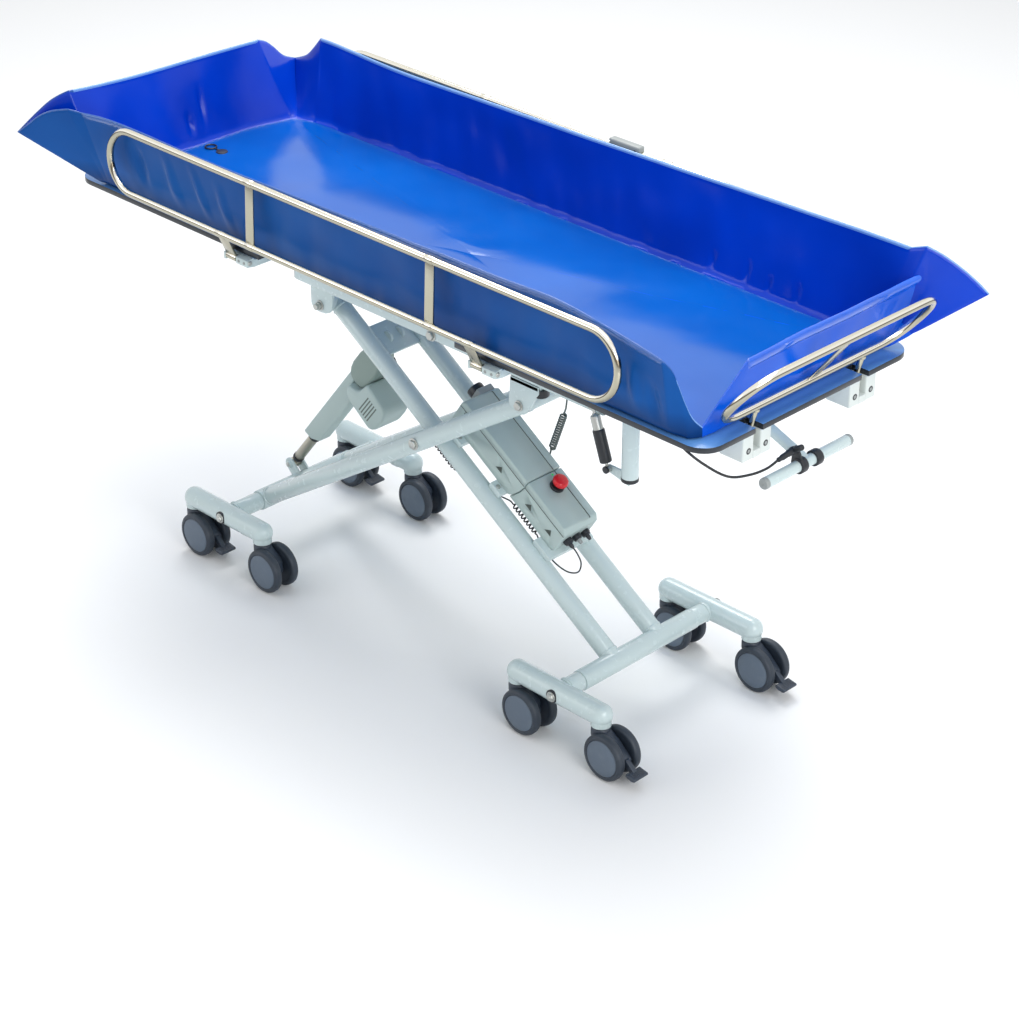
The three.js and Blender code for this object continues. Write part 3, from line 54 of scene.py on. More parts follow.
def makeCamera():
    azimuth, elevation = math.radians(lookFrom["azimuth"]), math.radians(lookFrom["elevation"])
    back = Vector((math.sin(azimuth) * math.cos(elevation), -math.cos(azimuth) * math.cos(elevation),
                   math.sin(elevation)))
    lens = bpy.data.cameras.new("photoView")
    lens.lens, lens.sensor_width = lookFrom["lens"], lookFrom["sensor"]
    lens.clip_start, lens.clip_end = 0.1, 100
    holder = bpy.data.objects.new("photoView", lens)
    bpy.context.scene.collection.objects.link(holder)
    holder.rotation_mode = "QUATERNION"
    holder.location = lookFrom["place"]
    roll = Matrix.Rotation(math.radians(lookFrom["roll"]), 3, "Z")
    holder.rotation_quaternion = ((-back).to_track_quat("-Z", "Y").to_matrix() @ roll).to_quaternion()
    bpy.context.scene.camera = holder


makeCamera()


# Shader helpers
class Wire:  # a node's socket; arithmetic on it adds Math nodes
    def __init__(self, net, socket):
        self.net, self.socket = net, socket

    def maths(self, operation, *values):
        return self.net.node("ShaderNodeMath", {"operation": operation}, dict(enumerate(values)))[0]

    def __add__(self, other):
        return self.maths("ADD", self, other)

    __radd__ = __add__

    def __mul__(self, other):
        return self.maths("MULTIPLY", self, other)

    __rmul__ = __mul__

    def __sub__(self, other):
        return self.maths("SUBTRACT", self, other)

    def __rsub__(self, other):
        return self.maths("SUBTRACT", other, self)

    def between(self, low, high):
        return self.net.node("ShaderNodeMapRange", {"clamp": True},
                             {"Value": self, "From Min": low, "From Max": high})[0]


class Outlets:
    def __init__(self, net, made):
        self.net, self.made = net, made

    def __getitem__(self, key):
        return Wire(self.net, self.made.outputs[key])


class Net:  # the nodes of one material, or of the world
    def __init__(self, name, holder=None):
        self.holder = holder or bpy.data.materials.new(name)
        self.holder.use_nodes = True
        self.tree = self.holder.node_tree
        self.tree.nodes.clear()

    def node(self, kind, settings=None, values=None):
        made = self.tree.nodes.new(kind)
        for key, value in (settings or {}).items():
            if key == "stops":  # a ramp's places and colours
                ends = made.color_ramp.elements
                for element, (at, colour) in zip(list(ends), (value[0], value[-1])):
                    element.position, element.color = at, colour
                for at, colour in value[1:-1]:
                    ends.new(at).color = colour
            else:
                setattr(made, key, value)
        for key, value in (values or {}).items():
            if isinstance(value, Wire):
                self.tree.links.new(value.socket, made.inputs[key])
            else:
                made.inputs[key].default_value = value
        return Outlets(self, made)

    def place(self, stretch=(1, 1, 1)):
        spot = self.node("ShaderNodeTexCoord")["Object"]
        return self.node("ShaderNodeMapping", None, {"Vector": spot, "Scale": stretch})[0]

    def cloud(self, scale, detail=3, stretch=(1, 1, 1), rough=0.5):
        return self.node("ShaderNodeTexNoise", None, {"Vector": self.place(stretch), "Scale": scale,
                                                      "Detail": detail, "Roughness": rough})[0]

    def mix(self, share, first, second):
        return self.node("ShaderNodeMix", {"data_type": "RGBA"}, {0: share, 6: first, 7: second})[2]

    def bump(self, height, depth, strength=1.0, under=None):
        values = {"Height": height, "Distance": depth, "Strength": strength}
        if under:
            values["Normal"] = under
        return self.node("ShaderNodeBump", None, values)[0]

    def surface(self, **values):
        names = {key.replace("_", " "): value for key, value in values.items()}
        shader = self.node("ShaderNodeBsdfPrincipled", None, names)[0]
        self.node("ShaderNodeOutputMaterial", None, {"Surface": shader})
        return self.holder


# the sRGB curve: its straight foot up to an edge, then a power of the rest
curve = {"edge": 0.04045, "slope": 12.92, "shift": 0.055, "power": 2.4}


def shade(red, green, blue):  # a colour as a picture shows it, 0 to 255
    parts = [value / 255 for value in (red, green, blue)]
    shift = curve["shift"]
    return tuple(c / curve["slope"] if c <= curve["edge"] else ((c + shift) / (1 + shift)) ** curve["power"]
                 for c in parts) + (1.0,)


def darker(colour, share):
    return tuple(c * share for c in colour[:3]) + (1.0,)


# Finishes: scales are in waves per metre, depths of bumps in metres, the rest are shares
paintLook = {"tint": 6, "tintShare": 0.35, "soil": 28, "soilShare": 0.12, "peel": 420, "peelDepth": 0.00025,
             "gloss": 0.21, "coat": 0.35, "coatRough": 0.12}


def powderCoat(name, colour):
    look, net = paintLook, Net(name)
    tint = net.cloud(look["tint"], 2).between(0.3, 0.7)
    peel = net.cloud(look["peel"], 2)
    soiled = net.cloud(look["soil"], 4).between(0.52, 0.8)
    paint = net.mix(tint * look["tintShare"], colour, darker(colour, 0.93))
    paint = net.mix(soiled * look["soilShare"], paint, darker(colour, 0.8))
    return net.surface(Base_Color=paint, Roughness=net.cloud(60, 2) * 0.1 + look["gloss"],
                       Normal=net.bump(peel, look["peelDepth"], 0.35),
                       Coat_Weight=look["coat"], Coat_Roughness=look["coatRough"])


steelLook = {"streaks": 900, "streakDepth": 0.0001, "wear": 14, "wearShare": 0.25}


def brushedSteel(name, colour, along, gloss):
    look, net = steelLook, Net(name)
    streaks = net.cloud(look["streaks"], 3, along, 0.7)
    wear = net.cloud(look["wear"], 3).between(0.35, 0.75)
    metal = net.mix(streaks * 0.5, colour, darker(colour, 0.82))
    metal = net.mix(wear * look["wearShare"], metal, darker(colour, 0.75))
    return net.surface(Base_Color=metal, Metallic=1.0,
                       Roughness=streaks * 0.14 + wear * 0.06 + (gloss - 0.06),
                       Normal=net.bump(streaks, look["streakDepth"], 0.4))


# painted reflection: what the polished rails show of the room, painted into their colour by how far the
# surface faces up: 0 down, 0.5 level, 1 up
railPaintedReflection = [(0.0, shade(150, 146, 132)), (0.42, shade(176, 172, 154)), (0.5, shade(186, 183, 164)),
             (0.585, shade(206, 203, 186)), (0.615, shade(96, 84, 66)), (0.68, shade(74, 62, 48)),
             (0.715, shade(226, 222, 208)), (0.8, shade(252, 250, 242)), (0.9, shade(244, 240, 226)),
             (1.0, shade(226, 222, 204))]
railStreak = darker(shade(190, 186, 170), 0.9)


def polishedRail(name, along):
    net = Net(name)
    facing = net.node("ShaderNodeNewGeometry")["Normal"]
    up = net.node("ShaderNodeSeparateXYZ", None, {"Vector": facing})[2]
    streaks = net.cloud(700, 3, along, 0.7)
    # painted reflection: the colour follows which way the surface faces, not the lamps
    paintedReflection = net.node("ShaderNodeValToRGB", {"stops": railPaintedReflection},
                    {"Fac": up * 0.5 + 0.5 + (streaks - 0.5) * 0.02})[0]
    return net.surface(Base_Color=net.mix(streaks * 0.3, paintedReflection, railStreak), Metallic=1.0,
                       Roughness=streaks * 0.08 + 0.14)


def mouldedPlastic(name, colour, grain, depth, gloss, spread, dust=None):
    net = Net(name)
    pits = net.cloud(grain, 2)
    patch = net.cloud(9, 3).between(0.3, 0.75)
    body = net.mix(patch * spread, colour, darker(colour, 0.82))
    if dust:
        body = net.mix(net.cloud(40, 5).between(0.5, 0.85) * 0.35, body, dust)
    return net.surface(Base_Color=body, Roughness=pits * 0.12 + patch * 0.08 + gloss - 0.1,
                       Normal=net.bump(pits, depth, 0.4))


# seam: the heights between which the outside is darker towards its lower seam, a painted shade
clothLook = {"threads": 900, "threadDepth": 0.0001, "swell": 5, "swellDepth": 0.003, "cloudy": 3.2,
             "cloudyShare": 0.8, "fine": 130, "fineShare": 0.08, "coatRough": 0.1, "seam": (1.01, 1.085)}


def coatedCloth(name, colour, deep, shine, coat, rough=0.12, foot=None):
    look, net = clothLook, Net(name)
    spot = net.node("ShaderNodeTexCoord")["Object"]
    threads = net.node("ShaderNodeTexVoronoi", None, {"Vector": spot, "Scale": look["threads"]})[0]
    swell = net.cloud(look["swell"], 3)
    cloudy = net.cloud(look["cloudy"], 2, (1, 1.4, 1.4)).between(0.3, 0.7)
    body = net.mix(cloudy * look["cloudyShare"], colour, deep)
    body = net.mix(net.cloud(look["fine"], 2) * look["fineShare"], body, darker(colour, 0.8))
    # painted shade: the cloth is blended into the foot colour towards its lower seam
    if foot:
        height = net.node("ShaderNodeSeparateXYZ", None, {"Vector": spot})[2]
        body = net.mix((height + net.cloud(7, 2) * 0.03).between(*look["seam"]), foot, body)
    soft = net.bump(swell, look["swellDepth"], 0.2)
    return net.surface(Base_Color=body, Roughness=net.cloud(18, 3) * 0.08 + rough,
                       Normal=net.bump(threads, look["threadDepth"], 0.2, soft),
                       Coat_Weight=coat, Coat_Roughness=look["coatRough"], Specular_IOR_Level=shine)


laminateLook = {"fleck": 520, "fleckShare": 0.12, "patch": 4, "patchShare": 0.2, "grain": 380,
                "grainDepth": 0.00015, "gloss": 0.26, "coat": 0.2, "coatRough": 0.2}


def laminate(name, colour):
    look, net = laminateLook, Net(name)
    fleck = net.node("ShaderNodeTexVoronoi", None,
                     {"Vector": net.place(), "Scale": look["fleck"]})[0].between(0.1, 0.6)
    patch = net.cloud(look["patch"], 3).between(0.35, 0.7)
    body = net.mix(fleck * look["fleckShare"], colour, darker(colour, 1.18))
    body = net.mix(patch * look["patchShare"], body, darker(colour, 0.88))
    return net.surface(Base_Color=body, Roughness=net.cloud(240, 2) * 0.1 + look["gloss"],
                       Normal=net.bump(net.cloud(look["grain"], 2), look["grainDepth"], 0.4),
                       Coat_Weight=look["coat"], Coat_Roughness=look["coatRough"])


def rubberCable(name, colour):
    net = Net(name)
    rings = net.cloud(1500, 1)
    body = net.mix(net.cloud(30, 3).between(0.4, 0.75) * 0.3, colour, darker(colour, 1.35))
    return net.surface(Base_Color=body, Roughness=rings * 0.1 + 0.34, Normal=net.bump(rings, 0.0001, 0.3))


def screenFinish(name, colour):
    net = Net(name)
    lines = net.node("ShaderNodeTexChecker", None, {"Vector": net.place(), "Scale": 700,
                                                    "Color1": colour, "Color2": darker(colour, 0.9)})[0]
    return net.surface(Base_Color=lines, Roughness=net.cloud(60, 2) * 0.05 + 0.08, Coat_Weight=0.4)


def lampFinish(name, colour):
    net = Net(name)
    glow = net.mix(net.cloud(200, 1), colour, darker(colour, 0.6))
    return net.surface(Base_Color=glow, Emission_Color=glow, Emission_Strength=0.6, Roughness=0.3)


finish = {
    "frame": powderCoat("framePaint", shade(198, 215, 216)),
    # the rails' steel carries a painted reflection in its colour
    "steel": polishedRail("railSteel", (0.02, 1, 1)),
    "endSteel": polishedRail("endRailSteel", (1, 0.02, 1)),
    "zinc": brushedSteel("zincSteel", shade(190, 192, 188), (1, 1, 1), 0.34),
    "rod": brushedSteel("rodSteel", shade(176, 172, 158), (1, 1, 0.05), 0.3),
    "tyre": mouldedPlastic("tyreRubber", shade(40, 50, 62), 300, 0.0003, 0.52, 0.3, shade(70, 80, 90)),
    "disc": mouldedPlastic("wheelDisc", shade(92, 106, 122), 700, 0.0002, 0.5, 0.2, shade(118, 128, 138)),
    "fork": mouldedPlastic("forkPlastic", shade(48, 58, 72), 620, 0.0003, 0.42, 0.25, shade(78, 88, 98)),
    "casing": mouldedPlastic("casingPlastic", shade(178, 196, 194), 520, 0.0003, 0.46, 0.2),
    # painted shade: a darker copy of the casing for its grooves, recesses and vents
    "casingDark": mouldedPlastic("casingShade", shade(96, 108, 104), 520, 0.0003, 0.55, 0.2),
    "cover": mouldedPlastic("gearCover", shade(138, 156, 150), 420, 0.0004, 0.55, 0.35),
    "black": mouldedPlastic("blackPlastic", shade(30, 34, 40), 600, 0.0002, 0.4, 0.25),
    "white": mouldedPlastic("whitePlastic", shade(214, 222, 220), 500, 0.0002, 0.4, 0.12),
    "grey": mouldedPlastic("greyPlastic", shade(150, 156, 156), 500, 0.0002, 0.42, 0.2),
    "red": mouldedPlastic("redButton", shade(214, 26, 38), 500, 0.0001, 0.28, 0.2),
    "board": laminate("boardBlue", shade(84, 136, 198)),
    "boardEdge": laminate("boardEdge", shade(26, 34, 44)),
    "linerIn": coatedCloth("linerInside", shade(0, 64, 200), shade(0, 48, 168), 0.25, 0.0, 0.14),
    # painted light: the floor is a lighter, greener copy of the inside cloth, for the light and sheen it
    # takes from above
    "linerLitFloor": coatedCloth("linerLitFloor", shade(0, 96, 192), shade(0, 82, 172), 0.5, 0.0, 0.1),
    # the outside, with a painted shade colour along its lower seam
    "linerOut": coatedCloth("linerOutside", shade(16, 88, 166), shade(6, 66, 140), 0.12, 0.0, 0.3,
                            shade(0, 36, 84)),
    # painted light: the right end's outside is a brighter copy of the outside cloth, for the light that
    # falls on it
    "linerEnd": coatedCloth("linerRightEndLit", shade(0, 96, 226), shade(0, 76, 200), 0.3, 0.0, 0.16),
    "linerHem": coatedCloth("linerHem", shade(24, 94, 178), shade(12, 74, 154), 0.5, 0.5, 0.16),
    # painted light: the right end's hem is a brighter copy of the hem
    "linerLitEndHem": coatedCloth("linerLitEndHem", shade(10, 104, 232), shade(4, 84, 206), 0.6, 0.7),
    # painted highlight: the rim is paler than the cloth for the white it reflects, under a real glossy coat
    "linerHighlightRim": coatedCloth("linerHighlightRim", shade(120, 168, 228), shade(90, 144, 214), 0.6, 0.6),
    "cable": rubberCable("blackCable", shade(30, 32, 34)),
    "greyCable": rubberCable("greyCable", shade(96, 106, 104)),
    "screen": screenFinish("displayScreen", shade(110, 128, 150)),
    "green": lampFinish("greenLamp", shade(30, 200, 90)),
}
print("finishes:", len(finish))


# Mesh helpers, all in millimetres
sharpFrom = 0.6  # edges that turn more than this, in radians, get a bevel
tip = 1e-6  # a lathe's radius below this is a point on its axis


def turnTo(direction):
    return Vector((0, 0, 1)).rotation_difference(Vector(direction).normalized()).to_matrix().to_4x4()


class Form:  # gathers parts into one mesh
    def __init__(self, place=None):
        self.mesh = bmesh.new()
        self.place = place or Matrix.Identity(4)

    def take(self, part, slot=0, edge=0.0, steps=2, keepSlots=False):
        bmesh.ops.recalc_face_normals(part, faces=part.faces)
        if edge:
            sharp = [e for e in part.edges if len(e.link_faces) == 2 and e.calc_face_angle(0) > sharpFrom]
            bmesh.ops.bevel(part, geom=sharp, offset=edge, segments=steps, profile=0.5, affect="EDGES",
                            clamp_overlap=True)
        for face in part.faces:
            face.smooth = True
            if not keepSlots:
                face.material_index = slot
        part.transform(self.place)
        holder = bpy.data.meshes.new("part")
        part.to_mesh(holder)
        part.free()
        self.mesh.from_mesh(holder)
        bpy.data.meshes.remove(holder)

    def prism(self, outline, low, high, along="y", edge=1.5, steps=2, slot=0):
        spot = {"x": lambda a, b, t: (t, a, b), "y": lambda a, b, t: (a, t, b),
                "z": lambda a, b, t: (a, b, t)}[along]
        part = bmesh.new()
        rings = [[part.verts.new(spot(a, b, t)) for a, b in outline] for t in (low, high)]
        part.faces.new(rings[0])
        part.faces.new(list(reversed(rings[1])))
        count = len(outline)
        for at in range(count):
            after = (at + 1) % count
            part.faces.new((rings[0][at], rings[1][at], rings[1][after], rings[0][after]))
        self.take(part, slot, edge, steps)

    def block(self, x0, x1, y0, y1, z0, z1, edge=1.5, steps=2, slot=0):
        self.prism([(x0, z0), (x1, z0), (x1, z1), (x0, z1)], min(y0, y1), max(y0, y1), "y",
                   edge, steps, slot)

    def lathe(self, profile, start, toward, sides=32, slot=0, slots=None):
        part = bmesh.new()
        rings = []
        angles = [2 * math.pi * k / sides for k in range(sides)]
        for radius, along in profile:
            if radius < tip:
                rings.append([part.verts.new((0, 0, along))])
            else:
                rings.append([part.verts.new((radius * math.cos(a), radius * math.sin(a), along))
                              for a in angles])
        for row, (a, b) in enumerate(zip(rings, rings[1:])):
            for k in range(sides):
                n = (k + 1) % sides
                if len(a) == 1 and len(b) == 1:
                    continue
                if len(a) == 1:
                    face = part.faces.new((a[0], b[n], b[k]))
                elif len(b) == 1:
                    face = part.faces.new((a[k], a[n], b[0]))
                else:
                    face = part.faces.new((a[k], a[n], b[n], b[k]))
                face.material_index = slots[row] if slots else slot
        part.transform(Matrix.Translation(Vector(start)) @ turnTo(toward))
        self.take(part, keepSlots=True)

    def rod(self, start, end, radius, edge=1.0, sides=32, slot=0):
        start, end = Vector(start), Vector(end)
        long = (end - start).length
        edge = min(edge, radius * 0.5, long * 0.45)
        dip = edge * 0.3
        profile = [(0, 0), (radius - edge, 0), (radius - dip, dip), (radius, edge), (radius, long - edge),
                   (radius - dip, long - dip), (radius - edge, long), (0, long)]
        self.lathe(profile, start, end - start, sides, slot)

    def cross(self, spot, y0, y1, radius, edge=1.0, sides=32, slot=0):
        self.rod((spot[0], y0, spot[1]), (spot[0], y1, spot[1]), radius, edge, sides, slot)

    def capsule(self, start, end, radius, sides=40, slot=0):
        start, end = Vector(start), Vector(end)
        long = (end - start).length
        steps = 10
        angles = [math.pi / 2 * k / steps for k in range(steps + 1)]
        profile = [(radius * math.sin(a), -radius * math.cos(a)) for a in angles]
        profile += [(radius * math.cos(a), long + radius * math.sin(a)) for a in angles]
        self.lathe(profile, start, end - start, sides, slot)

    def hexHead(self, spot, y0, y1, radius, slot=0):
        turns = [math.pi * k / 3 for k in range(6)]
        points = [(spot[0] + radius * math.cos(a), spot[1] + radius * math.sin(a)) for a in turns]
        self.prism(points, min(y0, y1), max(y0, y1), "y", 1.4, 2, slot)

    def strap(self, first, last, radius, y0, y1, edge=1.2, slot=0):
        # a flat bar with round ends
        (ax, az), (bx, bz) = first, last
        lean = math.atan2(bz - az, bx - ax)
        points, steps = [], 16
        for cx, cz, side in ((bx, bz, -1), (ax, az, 1)):
            for k in range(steps + 1):
                angle = lean + side * math.pi / 2 + math.pi * k / steps
                points.append((cx + radius * math.cos(angle), cz + radius * math.sin(angle)))
        self.prism(points, min(y0, y1), max(y0, y1), "y", edge, 2, slot)

    def sweep(self, path, radius, sides=16, closed=False, slot=0):
        part = bmesh.new()
        path = [Vector(p) for p in path]
        count = len(path)
        rings, normal = [], None
        for at, spot in enumerate(path):
            before = path[at - 1] if closed or at else spot
            after = path[(at + 1) % count] if closed or at + 1 < count else spot
            along = (after - before).normalized()
            if normal is None:
                helper = Vector((0, 0, 1)) if abs(along.z) < 0.9 else Vector((1, 0, 0))
                normal = helper.cross(along).normalized()
            normal = (normal - along * normal.dot(along)).normalized()
            side = along.cross(normal)
            wide = radius[at] if isinstance(radius, list) else radius
            rings.append([part.verts.new(spot + normal * (wide * math.cos(2 * math.pi * k / sides))
                                         + side * (wide * math.sin(2 * math.pi * k / sides)))
                          for k in range(sides)])
        shift = 0
        if closed:
            gaps = [sum((rings[-1][k].co - rings[0][(k + s) % sides].co).length for k in range(sides))
                    for s in range(sides)]
            shift = gaps.index(min(gaps))
        for at in range(count if closed else count - 1):
            last = closed and at == count - 1
            for k in range(sides):
                n = (k + 1) % sides
                there = rings[0] if last else rings[at + 1]
                move = shift if last else 0
                part.faces.new((rings[at][k], rings[at][n],
                                there[(n + move) % sides], there[(k + move) % sides]))
        if not closed:
            part.faces.new(list(reversed(rings[0])))
            part.faces.new(rings[-1])
        self.take(part, slot)

    def make(self, name, finishes, body, nodes=(), slot=None, sharp=34):
        data = bpy.data.meshes.new(name)
        self.mesh.transform(Matrix.Scale(mm, 4))
        self.mesh.to_mesh(data)
        self.mesh.free()
        for one in finishes:
            data.materials.append(finish[one])
        data.set_sharp_from_angle(angle=math.radians(sharp))
        piece = bpy.data.objects.new(name, data)
        bpy.context.scene.collection.objects.link(piece)
        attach(piece, body)
        if nodes:
            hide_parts(*nodes)
        return piece


def spline(points, closed, each):
    # centripetal curve through the points, with that many steps between two, or a list of their numbers
    spots = [Vector(p) for p in points]
    count = len(spots)
    made = []
    for at in range(count if closed else count - 1):
        def pick(k):
            return spots[k % count] if closed else spots[min(max(k, 0), count - 1)]
        p0, p1, p2, p3 = pick(at - 1), pick(at), pick(at + 1), pick(at + 2)
        gap1 = max((p2 - p1).length ** 0.5, 1e-4)
        gap0 = (p1 - p0).length ** 0.5 or gap1
        gap2 = (p3 - p2).length ** 0.5 or gap1
        into = ((p1 - p0) / gap0 - (p2 - p0) / (gap0 + gap1) + (p2 - p1) / gap1) * gap1
        out = ((p2 - p1) / gap1 - (p3 - p1) / (gap1 + gap2) + (p3 - p2) / gap2) * gap1
        steps = each if isinstance(each, int) else each[at]
        for k in range(steps):
            t = k / steps
            made.append(p1 * (2 * t ** 3 - 3 * t ** 2 + 1) + into * (t ** 3 - 2 * t ** 2 + t)
                        + p2 * (3 * t ** 2 - 2 * t ** 3) + out * (t ** 3 - t ** 2))
    if not closed:
        made.append(spots[-1])
    return made


# Places shared by the pieces, as the CAD has them; upperPin is in the inner arms' own frame
layout = {"middle": (-27, 545), "halfSpan": 605, "lowPivot": 148, "upperArm": 441, "upperPin": (-289, -35),
          "lowerPin": (-672, 188), "springFoot": (640, 740), "springTop": (589, 884), "springY": -185}
midX, midZ = layout["middle"]
liftAngle = math.atan2(midZ - layout["lowPivot"], layout["halfSpan"])


def armPoint(u, v):
    return (midX + u * math.cos(liftAngle) + v * math.sin(liftAngle),
            midZ - u * math.sin(liftAngle) + v * math.cos(liftAngle))


rightPivot = (midX + layout["halfSpan"], layout["lowPivot"])
leftPivot = (midX - layout["halfSpan"], layout["lowPivot"])
topLeft = armPoint(-layout["upperArm"], 0)
topRight = (2 * midX - topLeft[0], topLeft[1])
upperPin = armPoint(*layout["upperPin"])
lowerPin = layout["lowerPin"]
strokeLength = math.dist(upperPin, lowerPin)
strokeLean = math.atan2(upperPin[0] - lowerPin[0], upperPin[1] - lowerPin[1])
springFoot, springTop = layout["springFoot"], layout["springTop"]
springLength = math.dist(springFoot, springTop)
springLean = math.atan2(springTop[0] - springFoot[0], springTop[1] - springFoot[1])
armPlace = Matrix.Translation((midX, 0, midZ)) @ Matrix.Rotation(liftAngle, 4, "Y")
strokePlace = Matrix.Translation((upperPin[0], 0, upperPin[1])) @ Matrix.Rotation(strokeLean, 4, "Y")
springPlace = (Matrix.Translation((springFoot[0], layout["springY"], springFoot[1]))
               @ Matrix.Rotation(springLean, 4, "Y"))


# Cords
def curls(start, end, radius, turns, each=20):
    start, end = Vector(start), Vector(end)
    along = (end - start).normalized()
    side = Vector((0, 1, 0)).cross(along).normalized()
    other = along.cross(side)
    made, steps = [], turns * each
    for k in range(steps + 1):
        angle = 2 * math.pi * k / each
        grow = min(1, (k + 3) / 13, (steps - k + 3) / 13)  # the first and last turn open and close
        made.append(start.lerp(end, k / steps) + side * (grow * radius * math.cos(angle))
                    + other * (grow * radius * math.sin(angle)))
    return made


greyCord = {"radius": 2.4, "curl": ((260, 69, 648), (220, 69, 538), 7.6, 15),
            "lead": [(288, 69, 976), (287, 69, 966), (276, 69, 800), (266, 69, 668), (262, 69, 655)],
            "tail": [(216, 68, 525), (214, 64, 512), (212, 61, 500), (211, 60.9, 492)]}
# the dark cord's points are in the inner arms' own frame
darkCord = {"radius": 1.9, "upper": ((-6, -50, -69), (82, -50, -69), 5.6, 8),
            "lower": ((260, -48, 24), (356, -48, 25), 5.6, 9),
            "start": [(-236, -36, -10), (-222, -37, -14), (-150, -42, -34), (-80, -47, -56), (-30, -50, -68),
                      (-14, -50, -69)],
            "between": [(92, -50, -68), (130, -48, -58), (180, -46, -30), (225, -46, 4), (244, -47, 18),
                        (252, -48, 23)],
            "end": [(364, -48, 20), (376, -47, 12), (400, -46, 8), (440, -42, 6), (478, -38, 20),
                    (496, -34, 46), (486, -31, 70), (462, -30, 79), (446, -30, 80), (435.5, -30, 80)]}
pullCable = {"radius": 3, "points": [(1057, -96.5, 887), (1057, -130, 881), (1053, -185, 884),
                                     (1040, -240, 896), (1010, -290, 935), (980, -310, 962),
                                     (940, -300, 972), (880, -262, 974)]}


def lineLength(path):
    return sum((b - a).length for a, b in zip(path, path[1:]))


def cordPiece(name, path, radius, colour, body, node, slot):
    form = Form()
    form.sweep(path, radius, 12)
    piece = form.make(name, [colour], body, [node], slot)
    spots = [tuple(p * mm) for p in path]
    round(lineLength(path) * mm, 4)
    return piece


def makeCords():
    arm = [Vector((armPoint(u, v)[0], y, armPoint(u, v)[1])) for u, y, v in
           [*spline(darkCord["start"], False, 6), *curls(*darkCord["upper"]),
            *spline(darkCord["between"], False, 6), *curls(*darkCord["lower"]),
            *spline(darkCord["end"], False, 6)]]
    cordPiece("curlyCordDark", arm, darkCord["radius"], "cable", "inner_arms", "dark_curly_cord",
              "black_cable")
    grey = [*spline(greyCord["lead"], False, 8), *curls(*greyCord["curl"]),
            *spline(greyCord["tail"], False, 4)]
    held = cordPiece("curlyCordGrey", grey, greyCord["radius"], "greyCable", "bed", "grey_curly_cord",
                     "grey_cable")
    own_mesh(held)
    pull = spline(pullCable["points"], False, 10)
    cordPiece("pullCable", pull, pullCable["radius"], "cable", "bed", "bowden_cable", "black_cable")
    print("cords made")


makeCords()


# Bases and casters; a fork's outlines start at its swivel axis, on the floor
baseSizes = {"stem": 136, "track": 270, "foot": 28, "stub": 24, "axle": 15, "leftSleeve": 164,
             "rightSleeve": 200, "socket": [(0, 120.2), (23, 120.2), (25, 121.6), (25, 146), (0, 146)]}
casterSizes = {"trail": 38, "wheel": 59.5, "inside": 17, "outside": 40, "hub": 46.5, "halfFork": 15.5,
               "pedal": (78, 56), "longFork": 84, "shortFork": 64,
               "neck": [(0, 90), (21, 90), (23.4, 93), (24, 97), (24, 112), (23.4, 115), (21.5, 117),
                        (21.5, 119.4), (0, 119.4)]}
pedalShapes = {"lever": [(72, 52), (84, 43), (104, 30), (118, 31), (112, 41), (86, 63), (76, 63)],
               "tread": [(100, 34), (108, 29.5), (122, 27.5), (129, 29), (132, 33), (130, 37.5),
                         (116, 39.5), (103, 42)],
               "ribs": 5, "firstRib": 106, "ribStep": 4.6}


def wheelPair(name, x, y, body, node):
    size = casterSizes
    r, hub, inside, outside = size["wheel"], size["hub"], size["inside"], size["outside"]
    form = Form()
    for side in (-1, 1):
        profile = [(6, inside + 3), (r - 26, inside + 3), (r - 14, inside + 0.6), (r - 7, inside + 0.2),
                   (r - 3, inside + 1.2), (r - 0.8, inside + 4), (r, inside + 8), (r, outside - 9),
                   (r - 1, outside - 5), (r - 3.4, outside - 2.2), (r - 7, outside - 0.7),
                   (hub + 2.2, outside - 0.2), (hub + 1, outside - 1.6), (hub, outside - 2.2),
                   (hub - 0.8, outside - 1.4), (hub - 2.5, outside - 0.6), (22, outside - 0.1), (0, outside)]
        slots = [2] * 2 + [0] * 11 + [1] * 4  # inner face, tyre, disc
        form.lathe(profile, (x + size["trail"], y, r), (0, side, 0), 56, slots=slots)
    form.cross((x + size["trail"], r), y - 20.5, y + 20.5, 6, 0.5)
    form.make(name, ["tyre", "disc", "fork"], body, [node], "caster_wheel", 40)


def forkPiece(name, x, y, hasPedal, body, node):
    size = casterSizes
    form = Form(Matrix.Translation((x, y, 0)))
    half, r, trail = size["halfFork"], size["wheel"], size["trail"]
    rear = size["longFork"] if hasPedal else size["shortFork"]
    spine = [(-20, 112), (-19, 98), (-12, 78), (0, 54), (12, 42), (26, 37), (50, 38), (rear - 3, 49),
             (rear, 57), (rear - 2, 66), (62, 83), (46, 97), (30, 106), (22, 112)]
    form.prism(spine, -half, half, "y", 5, 3)
    form.lathe(size["neck"], (0, 0, 0), (0, 0, 1), 40)
    form.rod((0, 0, 118), (0, 0, 143), 5.5)
    # a web behind the wheels, close under their rims
    under, inward = 0.985, 0.72
    shell = [(r * math.cos(a) * under + trail, r + r * under * math.sin(a))
             for a in [math.radians(118 + k * 9) for k in range(8)]]
    inner = [(trail + (p[0] - trail) * inward, r + (p[1] - r) * inward) for p in reversed(shell)]
    form.prism(shell + inner, -half + 0.5, half - 0.5, "y", 3, 3)
    if hasPedal:
        pin = size["pedal"]
        boss = (pin[0] - 2, pin[1] - 1)
        form.cross(pin, -half - 1, half + 1, 3, 0.6)
        form.cross(boss, -half, -8, 10, 2, 24)
        form.cross(boss, 8, half, 10, 2, 24)
    form.make(name, ["fork"], body, [node], "caster_plastic", 40)


